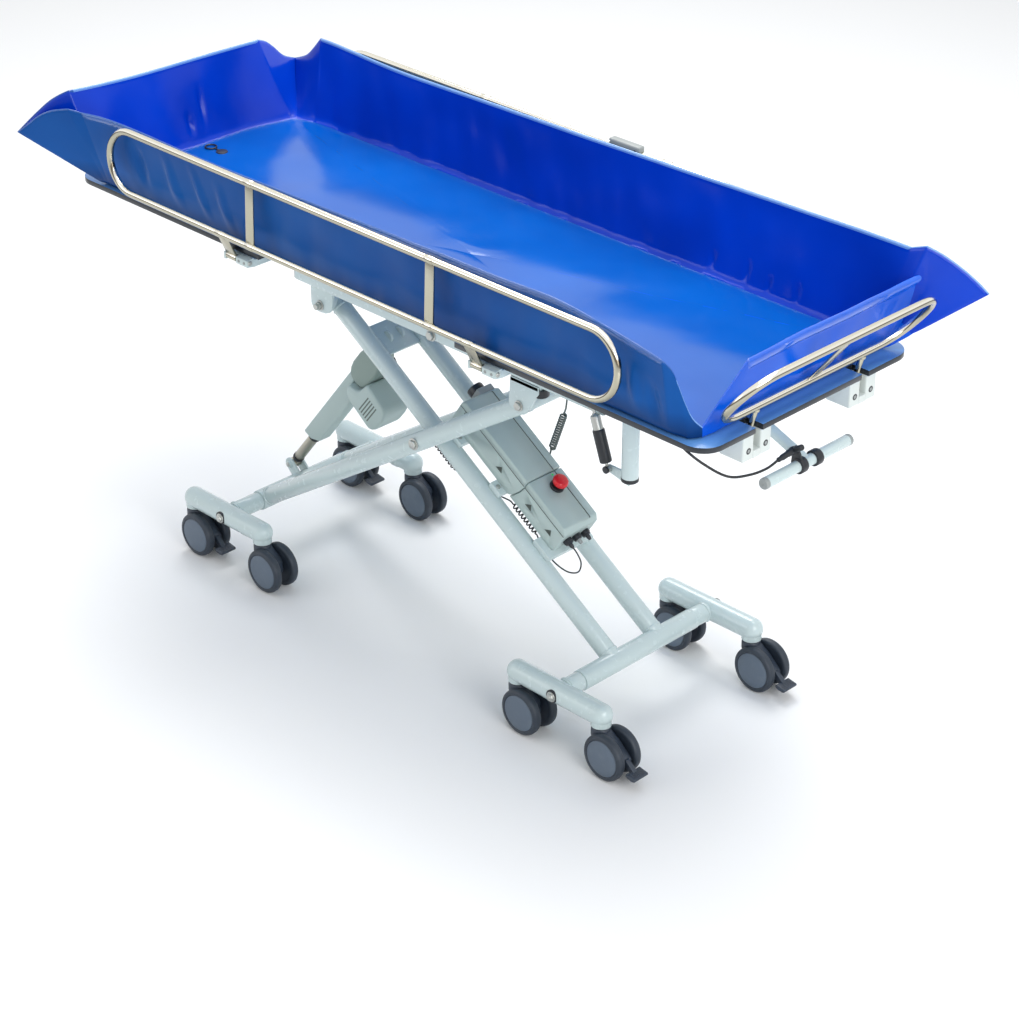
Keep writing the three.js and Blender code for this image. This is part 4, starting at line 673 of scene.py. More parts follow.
def pedalPiece(name, x, y, body, node):
    shapes = pedalShapes
    form = Form(Matrix.Translation((x, y, 0)))
    form.cross(casterSizes["pedal"], -6.8, 6.8, 8, 1)
    form.prism(shapes["lever"], -6.8, 6.8, "y", 2, 2)
    form.prism(shapes["tread"], -24, 24, "y", 3, 3)
    first, step = shapes["firstRib"], shapes["ribStep"]
    for k in range(shapes["ribs"]):
        form.block(first + k * step, first + 2 + k * step, -19, 19, 36, 41.6 - k * 0.55, 0.5, 1)
    form.make(name, ["fork"], body, [node], "caster_plastic", 40)


def footPiece(side, where, pivot, sleeve):
    size = baseSizes
    y = (-1 if where == "near" else 1) * size["track"]
    way = -1 if where == "near" else 1
    x, z = pivot
    form = Form()
    form.capsule((x - size["stem"], y, z), (x + size["stem"], y, z), size["foot"], 48)
    form.cross(pivot, y - way * 20, way * (sleeve + 1), size["stub"], 1.5, 40)
    seam = size["track"] - size["foot"]  # the weld between the foot and its stub
    form.cross(pivot, way * (seam + 4), way * (seam - 3), size["stub"] + 2.6, 2.6, 40)
    for step in (-1, 1):
        form.lathe(size["socket"], (x + step * size["stem"], y, 0), (0, 0, 1), 40)
    lug = x + (68 if side == "left" else -34)
    form.block(lug - 13, lug + 13, y - 7, y + 7, z - size["foot"] - 5, z - 20, 1.5)
    form.make(f"{side}Foot{where.title()}", ["frame"], f"{side}_base", [f"{side}_foot_{where}"],
              "painted_frame", 40)


def axlePiece(side, pivot):
    size = baseSizes
    form = Form()
    reach = size["track"] - 14.5
    form.cross(pivot, -reach, reach, size["axle"], 1)
    for way in (-1, 1):
        start = size["track"] + size["foot"] + 0.3
        # painted shadow: a black ring round the bolt stands for the shadow around its washer
        form.cross(pivot, way * (start - 6), way * start, 17, 1, 36, 1)
        form.cross(pivot, way * (start - 1), way * (start + 2), 13, 0.8, 36)
        form.hexHead(pivot, way * (start + 1), way * (start + 7), 10.5)
        form.cross(pivot, way * (start + 6), way * (start + 9), 6, 2.4, 24)
    form.make(f"{side}Axle", ["zinc", "black"], f"{side}_base", [f"{side}_axle"], "zinc_steel", 36)


def makeBases():
    size = baseSizes
    for side, pivot, sleeve, out in (("left", leftPivot, size["leftSleeve"], -1),
                                     ("right", rightPivot, size["rightSleeve"], 1)):
        axlePiece(side, pivot)
        for where, way in (("near", -1), ("far", 1)):
            footPiece(side, where, pivot, sleeve)
            for end, step in (("outer", out), ("inner", -out)):
                label = f"{side}_{end}_{where}"
                piece = side + end.title() + where.title()
                x, y = pivot[0] + step * size["stem"], way * size["track"]
                forkPiece(piece + "Fork", x, y, end == "outer", f"{label}_caster", f"{label}_fork")
                wheelPair(piece + "Wheels", x, y, f"{label}_wheels", f"{label}_wheels")
                if end == "outer":
                    pedalPiece(piece + "Pedal", x, y, f"{label}_pedal", f"{label}_pedal")
    print("bases made")


makeBases()


# Scissor arms
armSizes = {"inner": 78, "outer": 139, "radius": 24, "rightSleeve": 26, "leftSleeve": 27, "outerTop": 22,
            "weld": [(-2, -4), (1.2, -2.2), (1.8, 0), (1.2, 2.2), (-2, 4)], "weldPlace": 27}
sliderSizes = {"inner": 130, "face": 164, "outer": 170, "low": 843, "high": 855, "buffer": (52, 150)}


def armTube(form, start, end, y, radius):
    form.rod((start[0], y, start[1]), (end[0], y, end[1]), radius, 2, 48)
    for spot, other in ((start, end), (end, start)):  # weld beads where the tube meets its sleeve
        run = Vector((other[0] - spot[0], 0, other[1] - spot[1])).normalized()
        at = Vector((spot[0], y, spot[1])) + run * armSizes["weldPlace"]
        form.lathe([(radius + proud, along) for proud, along in armSizes["weld"]], at, run, 40)


def makeArms():
    size = armSizes
    for where, way in (("near", -1), ("far", 1)):
        form = Form()
        armTube(form, rightPivot, topLeft, way * size["inner"], size["radius"])
        # the pin in the middle, through the outer arm, with its washer and head
        middle, face, edge = layout["middle"], size["outer"] - size["radius"], size["outer"] + size["radius"]
        form.cross(middle, way * (size["inner"] + 18), way * (face - 0.5), 17, 1, 40)
        form.cross(middle, way * (face - 2), way * edge, 8, 0.5, 24, 1)
        form.cross(middle, way * (edge + 0.5), way * (edge + 2.6), 16, 0.6, 40, 1)
        form.hexHead(middle, way * (edge + 2.4), way * (edge + 8.8), 12, 1)
        form.make(f"innerArm{where.title()}", ["frame", "zinc"], "inner_arms", [f"inner_arm_{where}"],
                  "painted_frame")
        form = Form()
        armTube(form, leftPivot, topRight, way * size["outer"], size["radius"])
        form.make(f"outerArm{where.title()}", ["frame"], "outer_arms", [f"outer_arm_{where}"],
                  "painted_frame")
    form = Form()
    form.cross(rightPivot, -200, 200, size["rightSleeve"], 1.6, 48)
    form.make("rightCrossTube", ["frame"], "inner_arms", ["right_cross_tube"], "painted_frame")
    form = Form()
    form.cross(leftPivot, -164, 164, size["leftSleeve"], 1.6, 48)
    for way in (-1, 1):
        form.strap(leftPivot, lowerPin, 17, way * 12.6, way * 18.5, 1.2)
        form.cross(lowerPin, way * 12.6, way * 24.5, 10, 1.5, 32)
        form.cross(lowerPin, way * 24, way * 26, 6.5, 0.8, 24, 1)
    form.make("leftCrossTube", ["frame", "zinc"], "outer_arms", ["left_cross_tube"], "painted_frame")
    for name, spot, half, radius, plate, head, node, body in (
            ("innerTopTube", topLeft, 108, size["radius"], 131, 148, "inner_top_tube", "inner_arms"),
            ("outerTopTube", topRight, 163, size["outerTop"], 170.5, 179, "outer_top_tube", "outer_arms")):
        form = Form()
        form.cross(spot, -half, half, radius, 1.4, 48)
        for way in (-1, 1):
            form.cross(spot, way * (half - 1), way * (plate + 1), 9, 0.5, 24, 1)
            form.cross(spot, way * plate, way * (plate + 2), 13.5, 0.6, 36, 1)
            form.hexHead(spot, way * (plate + 1.8), way * min(plate + 9.5, head), 11, 1)
            if head > plate + 12:
                form.cross(spot, way * (plate + 9), way * head, 8, 1.2, 28, 1)
        form.make(name, ["frame", "zinc"], body, [node], "painted_frame")
    form = Form(armPlace)
    pin = layout["upperPin"]
    form.block(pin[0] - 46, pin[0] + 46, -53.7, 53.7, -4, 4, 1.2)
    for y0 in (-24, 16):
        form.strap((pin[0], 0), pin, 17, y0, y0 + 8, 1.2)
    form.cross(pin, -27, -24.2, 9, 0.8, 28, 1)
    form.cross(pin, 24.2, 27, 9, 0.8, 28, 1)
    form.make("crossPlate", ["frame", "zinc"], "inner_arms", ["inner_crossplate"], "painted_frame")
    # sliding shoes on the outer top tube, each with a dark buffer
    shoe = sliderSizes
    inner, face, outer, low, high = shoe["inner"], shoe["face"], shoe["outer"], shoe["low"], shoe["high"]
    for where, way in (("near", -1), ("far", 1)):
        x, z = topRight
        form = Form()
        plate = [(x - 30, high), (x - 34, z - 2), (x - 29, z - 12), (x - 18, z - 19), (x, z - 21),
                 (x + 14, z - 17), (x + 28, z - 6), (x + 62, 837), (x + 62, high)]
        form.prism(plate, min(way * face, way * outer), max(way * face, way * outer), "y", 1.5, 2)
        form.block(x - 30, x + 62, way * inner, way * outer, low, high, 2, 2)
        form.lathe([(0, 825), (18, 825), (20, 827.5), (20, 845), (0, 845)],
                   (x + shoe["buffer"][0], way * shoe["buffer"][1], 0), (0, 0, 1), 36, 1)
        form.make(f"slider{where.title()}", ["frame", "black"], "sliders", [f"slider_{where}"],
                  "painted_frame")
    print("arms made")


makeArms()


# Actuator, in its own frame: z runs up the stroke, and its outlines are x and z
actuatorShapes = {
    "cover": [(-18, -22), (-20, -38), (-29, -52), (-34, -80), (-34, -130), (-31, -148), (-24, -162),
              (-12, -171), (12, -171), (26, -165), (34, -156), (39, -130), (40, -104), (37.5, -70),
              (31, -54), (22, -42), (14, -34), (13, -22)],
    "rib": [(-21, -44), (-30.5, -58), (-35, -84), (-35, -128), (-30, -152), (-26, -152), (-26, -52)],
    "motor": [(41, -118), (112, -118), (122, -120), (131, -128), (136, -140), (138, -152), (138, -184),
              (136, -196), (130, -207), (120, -215), (108, -216), (40, -216), (20, -213), (9, -205),
              (3, -192), (2, -178), (16, -174.5), (30, -167.5), (36, -156), (38, -140)],
    "tube": [(-27, -173), (-27, -481), (0, -477.5), (3, -476), (26.4, -453), (27, -449), (27, -222),
             (-2, -214), (-2, -173.5)],
    "ribs": 9, "firstRib": -24, "ribStep": 6, "vents": 5, "backVents": 4}


def makeActuator():
    shapes = actuatorShapes
    form = Form(strokePlace)
    form.prism(shapes["cover"], -29, 29, "y", 6, 3)
    for k in range(shapes["ribs"]):  # moulded ribs along the cover
        y = shapes["firstRib"] + shapes["ribStep"] * k
        form.prism(shapes["rib"], y - 1, y + 1, "y", 0.6, 1)
    form.strap((0, -34), (0, 0), 14, -15, 15, 1.5, 1)
    form.cross((0, 0), -24, 24, 6, 0.5, 24, 2)
    form.make("gearCover", ["cover", "casing", "zinc"], "actuator", ["actuator_body"], "brown_grey_cover")
    form = Form(strokePlace)
    form.prism(shapes["motor"], -44, 44, "y", 7, 3)
    # vents: thin plates in the casing's painted shade, not openings
    for way in (-1, 1):
        for k in range(shapes["vents"]):  # on the flat sides
            form.block(66 + 9 * k, 70 + 9 * k, way * 43.4, way * 44.05, -200, -140, 0, 1, 1)
    for k in range(shapes["backVents"]):
        form.block(52, 124, -30 + 17 * k, -26 + 17 * k, -216.2, -214, 0, 1, 1)
    form.make("actuatorMotor", ["casing", "casingDark"], "actuator", ["actuator_motor"], "grey_casing")
    form = Form(strokePlace)
    form.prism(shapes["tube"], -20, 20, "y", 6, 3)
    form.rod((0, 0, -470), (0, 0, -484), 17, 1.5, 40, 1)
    form.make("actuatorTube", ["casing", "black"], "actuator", ["actuator_tube"], "grey_casing")
    form = Form(strokePlace)
    length = strokeLength
    form.rod((0, 0, -330), (0, 0, -length + 30), 13.9, 0.8, 40)
    form.rod((0, 0, -length + 33), (0, 0, -length + 22), 15.2, 1.2, 40, 1)
    form.block(-9.5, 9.5, -8.8, 8.8, -length + 4, -length + 26, 2, 2)
    form.cross((0, -length), -12.1, 12.1, 14, 1.4, 36)
    form.make("actuatorRod", ["rod", "black"], "actuator_rod", ["actuator_rod"], "zinc_steel")
    print("actuator made")


makeActuator()


# Boxes on the inner arms, in the arms' own frame
boxSizes = {"seam": 262, "end": 421, "bottom": 40, "top": 128, "half": 58, "groove": (31, 34),
            "bracketHalf": 78, "bracketFloor": 24.3, "stop": (303, 8), "plugs": (-30, 0, 30)}


def carve(piece, cutter):
    # cuts the cutter out of the piece for good
    change = piece.modifiers.new("carve", "BOOLEAN")
    change.operation, change.solver, change.object = "DIFFERENCE", "EXACT", cutter
    bpy.context.view_layer.update()
    carved = bpy.data.meshes.new_from_object(piece.evaluated_get(bpy.context.evaluated_depsgraph_get()))
    piece.modifiers.remove(change)
    piece.data = carved
    bpy.data.objects.remove(cutter)


def cutterFrom(form):
    data = bpy.data.meshes.new("cutter")
    form.mesh.transform(Matrix.Scale(mm, 4))
    form.mesh.to_mesh(data)
    form.mesh.free()
    # the cutter's faces take slot 1, the casing's painted shade
    for one in ("casing", "casingDark"):
        data.materials.append(finish[one])
    holder = bpy.data.objects.new("cutter", data)
    bpy.context.scene.collection.objects.link(holder)
    return holder


def makeBoxes():
    size = boxSizes
    low, high, half, seam, end = size["bottom"], size["top"], size["half"], size["seam"], size["end"]
    groove, wide, floor = size["groove"], size["bracketHalf"], size["bracketFloor"]
    form = Form(armPlace)
    battery = [(-3, low + 10), (1, low), (seam - 24, low), (seam - 15, low + 12), (seam - 9, low + 28),
               (seam - 4, low + 44), (seam - 0.8, high - 24), (seam - 0.8, high), (7, high), (-3, high - 12)]
    form.prism(battery, -half, half, "y", 4, 3)
    body = form.make("batteryModule", ["casing", "casingDark"], "inner_arms", ["battery_module"],
                     "grey_casing")
    cuts = Form(armPlace)
    for way in (-1, 1):  # a moulded arrow and three grooves on each side
        cuts.prism([(168, 70), (192, 70), (184, 88)], way * (half + 1), way * (half - 6), "y", 0, 1, 1)
        for k in range(3):
            left, right = 20 + 5 * k, 22 + 5 * k
            cuts.prism([(left, 62), (right, 62), (right, 104), (left, 104)],
                       way * (half + 1), way * (half - 1.6), "y", 0, 1, 1)
    cuts.block(2, seam + 5, *groove, high - 2.5, high + 2, 0, 1, 1)
    cuts.block(-6, seam + 5, -60, -half + 1.6, high - 22, high - 19.5, 0, 1, 1)
    cuts.block(-6, seam + 5, half - 1.6, 60, high - 22, high - 19.5, 0, 1, 1)
    carve(body, cutterFrom(cuts))
    form = Form(armPlace)
    for u in (30, 190):
        form.block(u, u + 40, -wide, wide, floor, low + 2, 2)
    for u in (50, 210):
        for way in (-1, 1):
            form.rod((u, way * 69, low + 1), (u, way * 69, low + 6), 6, 1, 24, 1)
    form.make("batteryFeet", ["frame", "zinc"], "inner_arms", ["battery_module"], "painted_frame")
    form = Form(armPlace)
    control = [(seam - 21, low), (end - 8, low), (end, low + 8), (end, high - 14), (end - 12, high),
               (seam + 1, high), (seam + 1, high - 25), (seam - 2, low + 44), (seam - 7, low + 28),
               (seam - 13, low + 12)]
    form.prism(control, -half, half, "y", 4, 3)
    unit = form.make("controlUnit", ["casing", "casingDark"], "inner_arms", ["control_unit"], "grey_casing")
    cuts = Form(armPlace)
    for way in (-1, 1):
        for u in (300, 380):
            cuts.prism([(u - 12, 70), (u + 12, 70), (u + 4, 88)],
                       way * (half + 1), way * (half - 6), "y", 0, 1, 1)
    cuts.block(seam - 5, end - 10, *groove, high - 2.5, high + 2, 0, 1, 1)
    for way in (-1, 1):
        cuts.block(seam - 5, end + 5, way * (half - 1.6), way * 60, high - 22, high - 19.5, 0, 1, 1)
    for k in range(4):
        cuts.block(end - 1.5, end + 2, -40 + 24 * k, -28 + 24 * k, 60, 62, 0, 1, 1)
    carve(unit, cutterFrom(cuts))
    form = Form(armPlace)
    form.block(end - 50, end + 12, -wide, wide, floor, low + 1, 2)
    for y in size["plugs"]:  # sockets on the end wall, the middle plug grey
        form.lathe([(0, 0), (12, 0), (12, 9), (10.5, 10.5), (10.5, 13), (9, 14), (0, 14)],
                   (end - 1, y, 80), (1, 0, 0), 32, 1)
        form.lathe([(0, 0), (6, 0), (5, 10), (3, 14), (0, 14)], (end + 12, y, 80), (1, 0, 0), 24,
                   1 if y != 0 else 2)
    form.make("controlBracket", ["frame", "black", "grey"], "inner_arms", ["control_unit"], "painted_frame")
    form = Form(armPlace)
    form.block(-17, 3, 2, 52, 64, 122, 4, 3)
    form.block(-17.8, -16, 8, 46, 84, 116, 0.6, 1, 1)
    form.block(-18.4, -17.4, 11, 43, 88, 112, 0.3, 1, 2)
    form.lathe([(0, 0), (22, 0), (22, 16), (20, 19), (0, 19.4)], (-16, 24, 92), (-1, 0, 0), 40, 3)
    form.make("displayUnit", ["grey", "white", "screen", "black"], "inner_arms", ["battery_module"],
              "grey_casing")
    form, stop = Form(armPlace), size["stop"]
    form.lathe([(0, 0), (19, 0), (19, 4), (17.5, 7), (13, 8), (10.5, 8), (10.5, 5), (0, 5)],
               (*stop, high - 1), (0, 0, 1), 40)
    for k, u in enumerate((271, 279)):
        form.lathe([(0, 0), (2.6, 0), (2.2, 1.2), (0, 1.6)], (u, 20, high - 0.2), (0, 0, 1), 16, 1 + k)
    form.make("stopCollar", ["black", "green", "grey"], "inner_arms", ["control_unit"], "black_plastic")
    form = Form(armPlace)
    form.rod((*stop, high - 5), (*stop, high + 16), 9, 1, 32, 1)
    form.lathe([(0, 14), (14, 14), (17.5, 15.5), (19.6, 19), (20, 23), (19.3, 27.5), (16.5, 30.6),
                (11, 32.3), (0, 33)], (*stop, high), (0, 0, 1), 48)
    form.make("stopButton", ["red", "black"], "emergency_stop", ["emergency_stop"], "red_button", 60)
    print("boxes made")


makeBoxes()


# Upper frame, bed frame, post and gas spring
tilt = (48, 868)  # the bed's pivot, x and z
upperSizes = {"from": -445, "to": 608, "inner": 130, "outer": 170, "low": 856, "high": 896,
              "crosses": (-441, 564), "crossWide": 40, "crossLow": 861, "crossHigh": 891}
bedSizes = {"half": 1016, "inner": 180, "outer": 220, "low": 953, "high": 992.7,
            "crosses": ((-960, 20), (-448, 20), (48, 20), (708, 22)), "crossHalf": 184, "crossLow": 959,
            "hinges": (-439, 406), "hinge": (366, 981), "post": (708, -185), "postLow": 741, "postTop": 962,
            "blocks": (998, 1066), "blockLow": 931, "blockY": 180}


def roundTube(form, x0, x1, y0, y1, z0, z1):
    form.block(x0, x1, y0, y1, z0, z1, 4, 3)


def makeUpperFrame():
    size = upperSizes
    start, end, inner, outer = size["from"], size["to"], size["inner"], size["outer"]
    low, high = size["low"], size["high"]
    form = Form()
    x, z = topLeft
    for way in (-1, 1):
        roundTube(form, start, end, way * inner, way * outer, low, high)
        for x0, x1 in ((start - 2.5, start + 1), (end - 1, end + 2)):  # grey end caps
            form.block(x0, x1, way * (inner + 2), way * (outer - 2), low + 2, high - 2, 1.5, 2, 1)
        lug = [(x - 36, 876), (x - 34, z - 4), (x - 29, z - 13), (x - 18, z - 19), (x, z - 20),
               (x + 18, z - 18), (x + 32, z - 12), (x + 44, z + 2), (x + 50, 876)]
        form.prism(lug, min(way * 122, way * 130.5), max(way * 122, way * 130.5), "y", 1.4, 2)
        form.cross(tilt, way * 118, way * 170, 8, 0.6, 28, 2)
        form.cross(tilt, way * 169.6, way * 171.8, 15, 0.6, 36, 2)
        form.hexHead(tilt, way * 171.5, way * 179, 12, 2)
    form.cross(layout["springTop"], -169, -191, 4.5, 0.4, 20, 2)
    form.cross(layout["springTop"], -190, -194, 8, 0.8, 28, 2)
    for at in size["crosses"]:
        roundTube(form, at, at + size["crossWide"], -inner - 1, inner + 1,
                  size["crossLow"], size["crossHigh"])
    form.make("upperFrame", ["frame", "grey", "zinc"], "upper_frame", ["upper_frame"], "painted_frame")


def makeBedFrame():
    size = bedSizes
    low, high = size["low"], size["high"]
    form = Form()
    x, z = tilt
    lug = [(x - 44, 961), (x - 18, z - 6), (x - 13, z - 12), (x - 6, z - 15), (x + 6, z - 15),
           (x + 13, z - 12), (x + 18, z - 6), (x + 44, 961)]
    for way in (-1, 1):
        roundTube(form, -size["half"], size["half"], way * size["inner"], way * size["outer"], low, high)
        form.prism(lug, min(way * 119.5, way * 127.5), max(way * 119.5, way * 127.5), "y", 1.4, 2)
        hingeY, hingeZ = way * size["hinge"][0], size["hinge"][1]
        cheek = [(way * 350, 967), (way * 374, 971), (way * 374, 989), (way * 360, 991), (way * 350, 991)]
        for x in size["hinges"]:  # outrigger with the side rail's hinge
            form.prism(cheek, x - 25.5, x - 18.5, "x", 1.2, 2)
            form.prism(cheek, x + 18.5, x + 61.5, "x", 2, 2)
            form.block(x - 25.5, x + 61.5, way * 200, way * 352, 967, 987, 2, 2)
            form.rod((x - 21.5, hingeY, hingeZ), (x + 21.5, hingeY, hingeZ), 5, 0.5, 20, 1)
            form.lathe([(0, 0), (6, 0), (6, 2.5), (4.5, 4), (0, 4.4)], (x + 61, hingeY, hingeZ),
                       (1, 0, 0), 20, 1)
            for step in (30, 50):
                form.lathe([(0, 0), (4, 0), (3.4, 1.6), (0, 2)], (x + step, way * 373.5, 980),
                           (0, way, 0), 18, 3)
        # slotted block that holds the end rail's post
        y, (x0, x1), floor = way * size["blockY"], size["blocks"], size["blockLow"]
        for y0, y1 in ((y - 46, y - 11), (y + 11, y + 46)):
            form.block(x0, x1, y0, y1, floor, high, 4, 3, 4)
        form.block(x0, x0 + 26, y - 12, y + 12, floor, high, 3, 2, 4)
        form.block(x1 - 46, x1, y - 12, y + 12, floor, floor + 18.5, 2, 2, 4)
        form.rod((x1 - 30, y - 20, 962), (x1 - 30, y + 20, 962), 5, 0.5, 20, 1)
        for step in (-28, 28):
            bolt = (x1 - 0.4, y + step, 955)
            form.lathe([(0, -0.4), (7.5, -0.4), (7.5, 0.6), (5, 0.9), (0, 0.9)], bolt, (1, 0, 0), 24, 2)
            form.lathe([(0, 0.8), (4.4, 0.8), (3.6, 1.5), (0, 1.6)], bolt, (1, 0, 0), 18, 3)
    for x, half in size["crosses"]:
        roundTube(form, x - half, x + half, -size["crossHalf"], size["crossHalf"], size["crossLow"], high)
    post = size["post"]
    form.rod((*post, size["postLow"]), (*post, size["postTop"]), 20, 1, 44)
    form.lathe([(0, 735), (18, 735), (20.4, 737), (20.6, 745), (20, 746), (0, 746)], (*post, 0),
               (0, 0, 1), 44, 2)
    foot = layout["springFoot"]
    x, z = foot
    bracket = [(700, z - 24), (x - 2, z - 10), (x - 9, z - 5), (x - 10, z + 2), (x - 4, z + 8), (700, z + 8)]
    form.prism(bracket, -180, -174, "y", 1.2, 2)
    form.cross(foot, -178, -191, 4.5, 0.4, 20, 1)
    form.cross(foot, -190, -195, 9, 1.2, 28, 2)
    form.make("bedFrame", ["frame", "zinc", "black", "grey", "white"], "bed", ["bed_frame"],
              "painted_frame")


def makeSpring():
    form = Form(springPlace)
    form.cross((0, 0), -4, 4, 9, 0.8, 32, 1)
    form.rod((0, 0, 5), (0, 0, 18), 3.7, 0.4, 20, 1)
    form.lathe([(0, 16), (12, 16), (14.2, 18), (14.5, 21), (14.5, 90), (14.2, 94), (12.8, 96), (12.6, 88),
                (0, 88)], (0, 0, 0), (0, 0, 1), 36)
    form.make("springBody", ["black", "zinc"], "gas_spring", ["gas_spring_body"], "black_paint")
    form = Form(springPlace)
    form.lathe([(0, 72), (12, 72), (12, 124), (11, 128), (7, 131), (5, 134), (0, 134)],
               (0, 0, 0), (0, 0, 1), 36)
    form.rod((0, 0, 128), (0, 0, springLength - 8), 4, 0.4, 20)
    form.cross((0, springLength), -4, 4, 12, 0.8, 32)
    form.make("springRod", ["zinc"], "gas_spring_rod", ["gas_spring_rod"], "zinc_steel")


# Push bar on its stalk, and the release lever on it
handleSizes = {"bar": (1062, 850), "half": 143, "radius": 13.4, "stalkTop": (730.5, 0, 978),
               "clamps": ((-34, -14), (18, 38)), "lever": (1053, 889)}


def makeHandle():
    size = handleSizes
    form = Form()
    (bar, height), half, lever = size["bar"], size["half"], size["lever"]
    form.rod((bar, -half, height), (bar, half, height), size["radius"], 0.8, 40)
    for way in (-1, 1):
        form.lathe([(0, 142), (13.5, 142), (13.5, 146), (12, 148.6), (3, 149), (3, 148), (0, 148)],
                   (bar, 0, height), (0, way, 0), 36, 1)
        form.cross((bar, height), way * 138, way * 144, 13.7, 0.5, 36, 1)
    top = Vector(size["stalkTop"])
    run = Vector((bar, 0, height)) - top
    form.rod(top + run.normalized() * 4, (bar, 0, height), 13, 0.8, 40)
    for y0, y1 in size["clamps"]:
        form.rod((bar, y0, height), (bar, y1, height), 19, 1.6, 40, 2)
    form.prism([(bar - 20, height), (1045, 885), (1047, 893), (1051, 897), (1059, 895),
                (bar + 14, height + 8)], -32, -26, "y", 1, 2, 2)
    form.cross(lever, -40, -29, 4, 0.5, 20, 3)
    form.make("handle", ["frame", "grey", "black", "zinc"], "bed", ["t_bar"], "painted_frame")
    form = Form()
    form.cross(lever, -46, -34, 9, 1.2, 32)
    hub = (lever[0], -40, lever[1])
    form.lathe([(0, 0), (8, 0), (8, 18), (7, 20), (7, 40), (5.5, 44), (5.5, 54), (3.4, 56), (0, 56)], hub,
               (4, -56, -2), 28)
    form.rod(hub, (1079, -40, 907), 7, 2.5, 28)
    form.make("releaseLever", ["black"], "release_lever", ["release_lever"], "black_plastic")


makeUpperFrame()
makeBedFrame()
makeSpring()
makeHandle()
print("frames made")


# Board, with recesses in its long sides and notches for the end rail's posts
boardSizes = {"x": 1070, "y": 355, "corner": 55, "floor": 993, "top": 1007, "recess": 50,
              "recessX": (-357, 318), "notches": (-180, 180), "notch": 12, "notchX": 1022,
              "drain": (-911, -3), "drainRadius": 14}


def makeBoard():
    size = boardSizes
    x, y, corner, notch, deep = size["x"], size["y"], size["corner"], size["notch"], size["notchX"]
    left, right = size["recessX"]
    inY = y - size["recess"]
    outline = []

    def arc(cx, cy, start, steps=14, sweep=90):
        for k in range(steps + 1):
            angle = math.radians(start + sweep * k / steps)
            outline.append((cx + corner * math.cos(angle), cy + corner * math.sin(angle)))

    for spot in size["notches"]:
        outline.extend([(x, spot - notch), (deep, spot - notch), (deep, spot + notch), (x, spot + notch)])
    arc(x - corner, y - corner, 0)
    outline.extend([(right, y), (right, inY), (left, inY), (left, y)])
    arc(-x + corner, y - corner, 90)
    arc(-x + corner, -y + corner, 180)
    outline.extend([(left, -y), (left, -inY), (right, -inY), (right, -y)])
    arc(x - corner, -y + corner, 270)
    form = Form()
    form.prism(outline, size["floor"], size["top"], "z", 1.2, 2)
    piece = form.make("board", ["board", "boardEdge"], "bed", ["board"], "blue_board")
    cuts = Form()
    cuts.rod((*size["drain"], 980), (*size["drain"], 1020), size["drainRadius"], 0, 32, 1)
    carve(piece, cutterFrom(cuts))
    piece.data.materials.clear()
    for one in ("board", "boardEdge"):
        piece.data.materials.append(finish[one])
    for face in piece.data.polygons:
        face.material_index = 0 if abs(face.normal.z) > 0.8 else 1


makeBoard()


# Rails
railSizes = {"radius": 9, "side": (-865, 855), "low": (398, 1049), "high": (392, 1209),
             "hinge": (366, 981), "bars": (-333, 282), "legs": (-439, 406),
             "endHalf": 325, "endLow": (1058, 1050), "endHigh": (1164, 1186), "endHinge": (1036, 962),
             "endPost": 180, "farBlock": (100, 200, 381, 403, 1197, 1230), "farHole": (186, 1217)}


def loop(start, end, low, high, steps=18):
    rise = (high[0] - low[0], high[1] - low[1])
    radius = math.hypot(*rise) / 2
    centre = ((low[0] + high[0]) / 2, (low[1] + high[1]) / 2)
    made = []
    for along, way in ((end - radius, 1), (start + radius, -1)):
        for k in range(steps + 1):
            angle = way * (-math.pi / 2 + math.pi * k / steps)
            up = math.sin(angle)
            made.append((along + way * radius * math.cos(angle),
                         centre[0] + up * rise[0] / 2, centre[1] + up * rise[1] / 2))
    return made


def flatBar(form, at, low, high, half, thick):
    lean = math.atan2(high[0] - low[0], high[1] - low[1])
    dy, dz = thick / 2 * math.cos(lean), thick / 2 * math.sin(lean)
    form.prism([(low[0] - dy, low[1] + dz), (low[0] + dy, low[1] - dz),
                (high[0] + dy, high[1] - dz), (high[0] - dy, high[1] + dz)],
               at - half, at + half, "x", 0.8, 2)


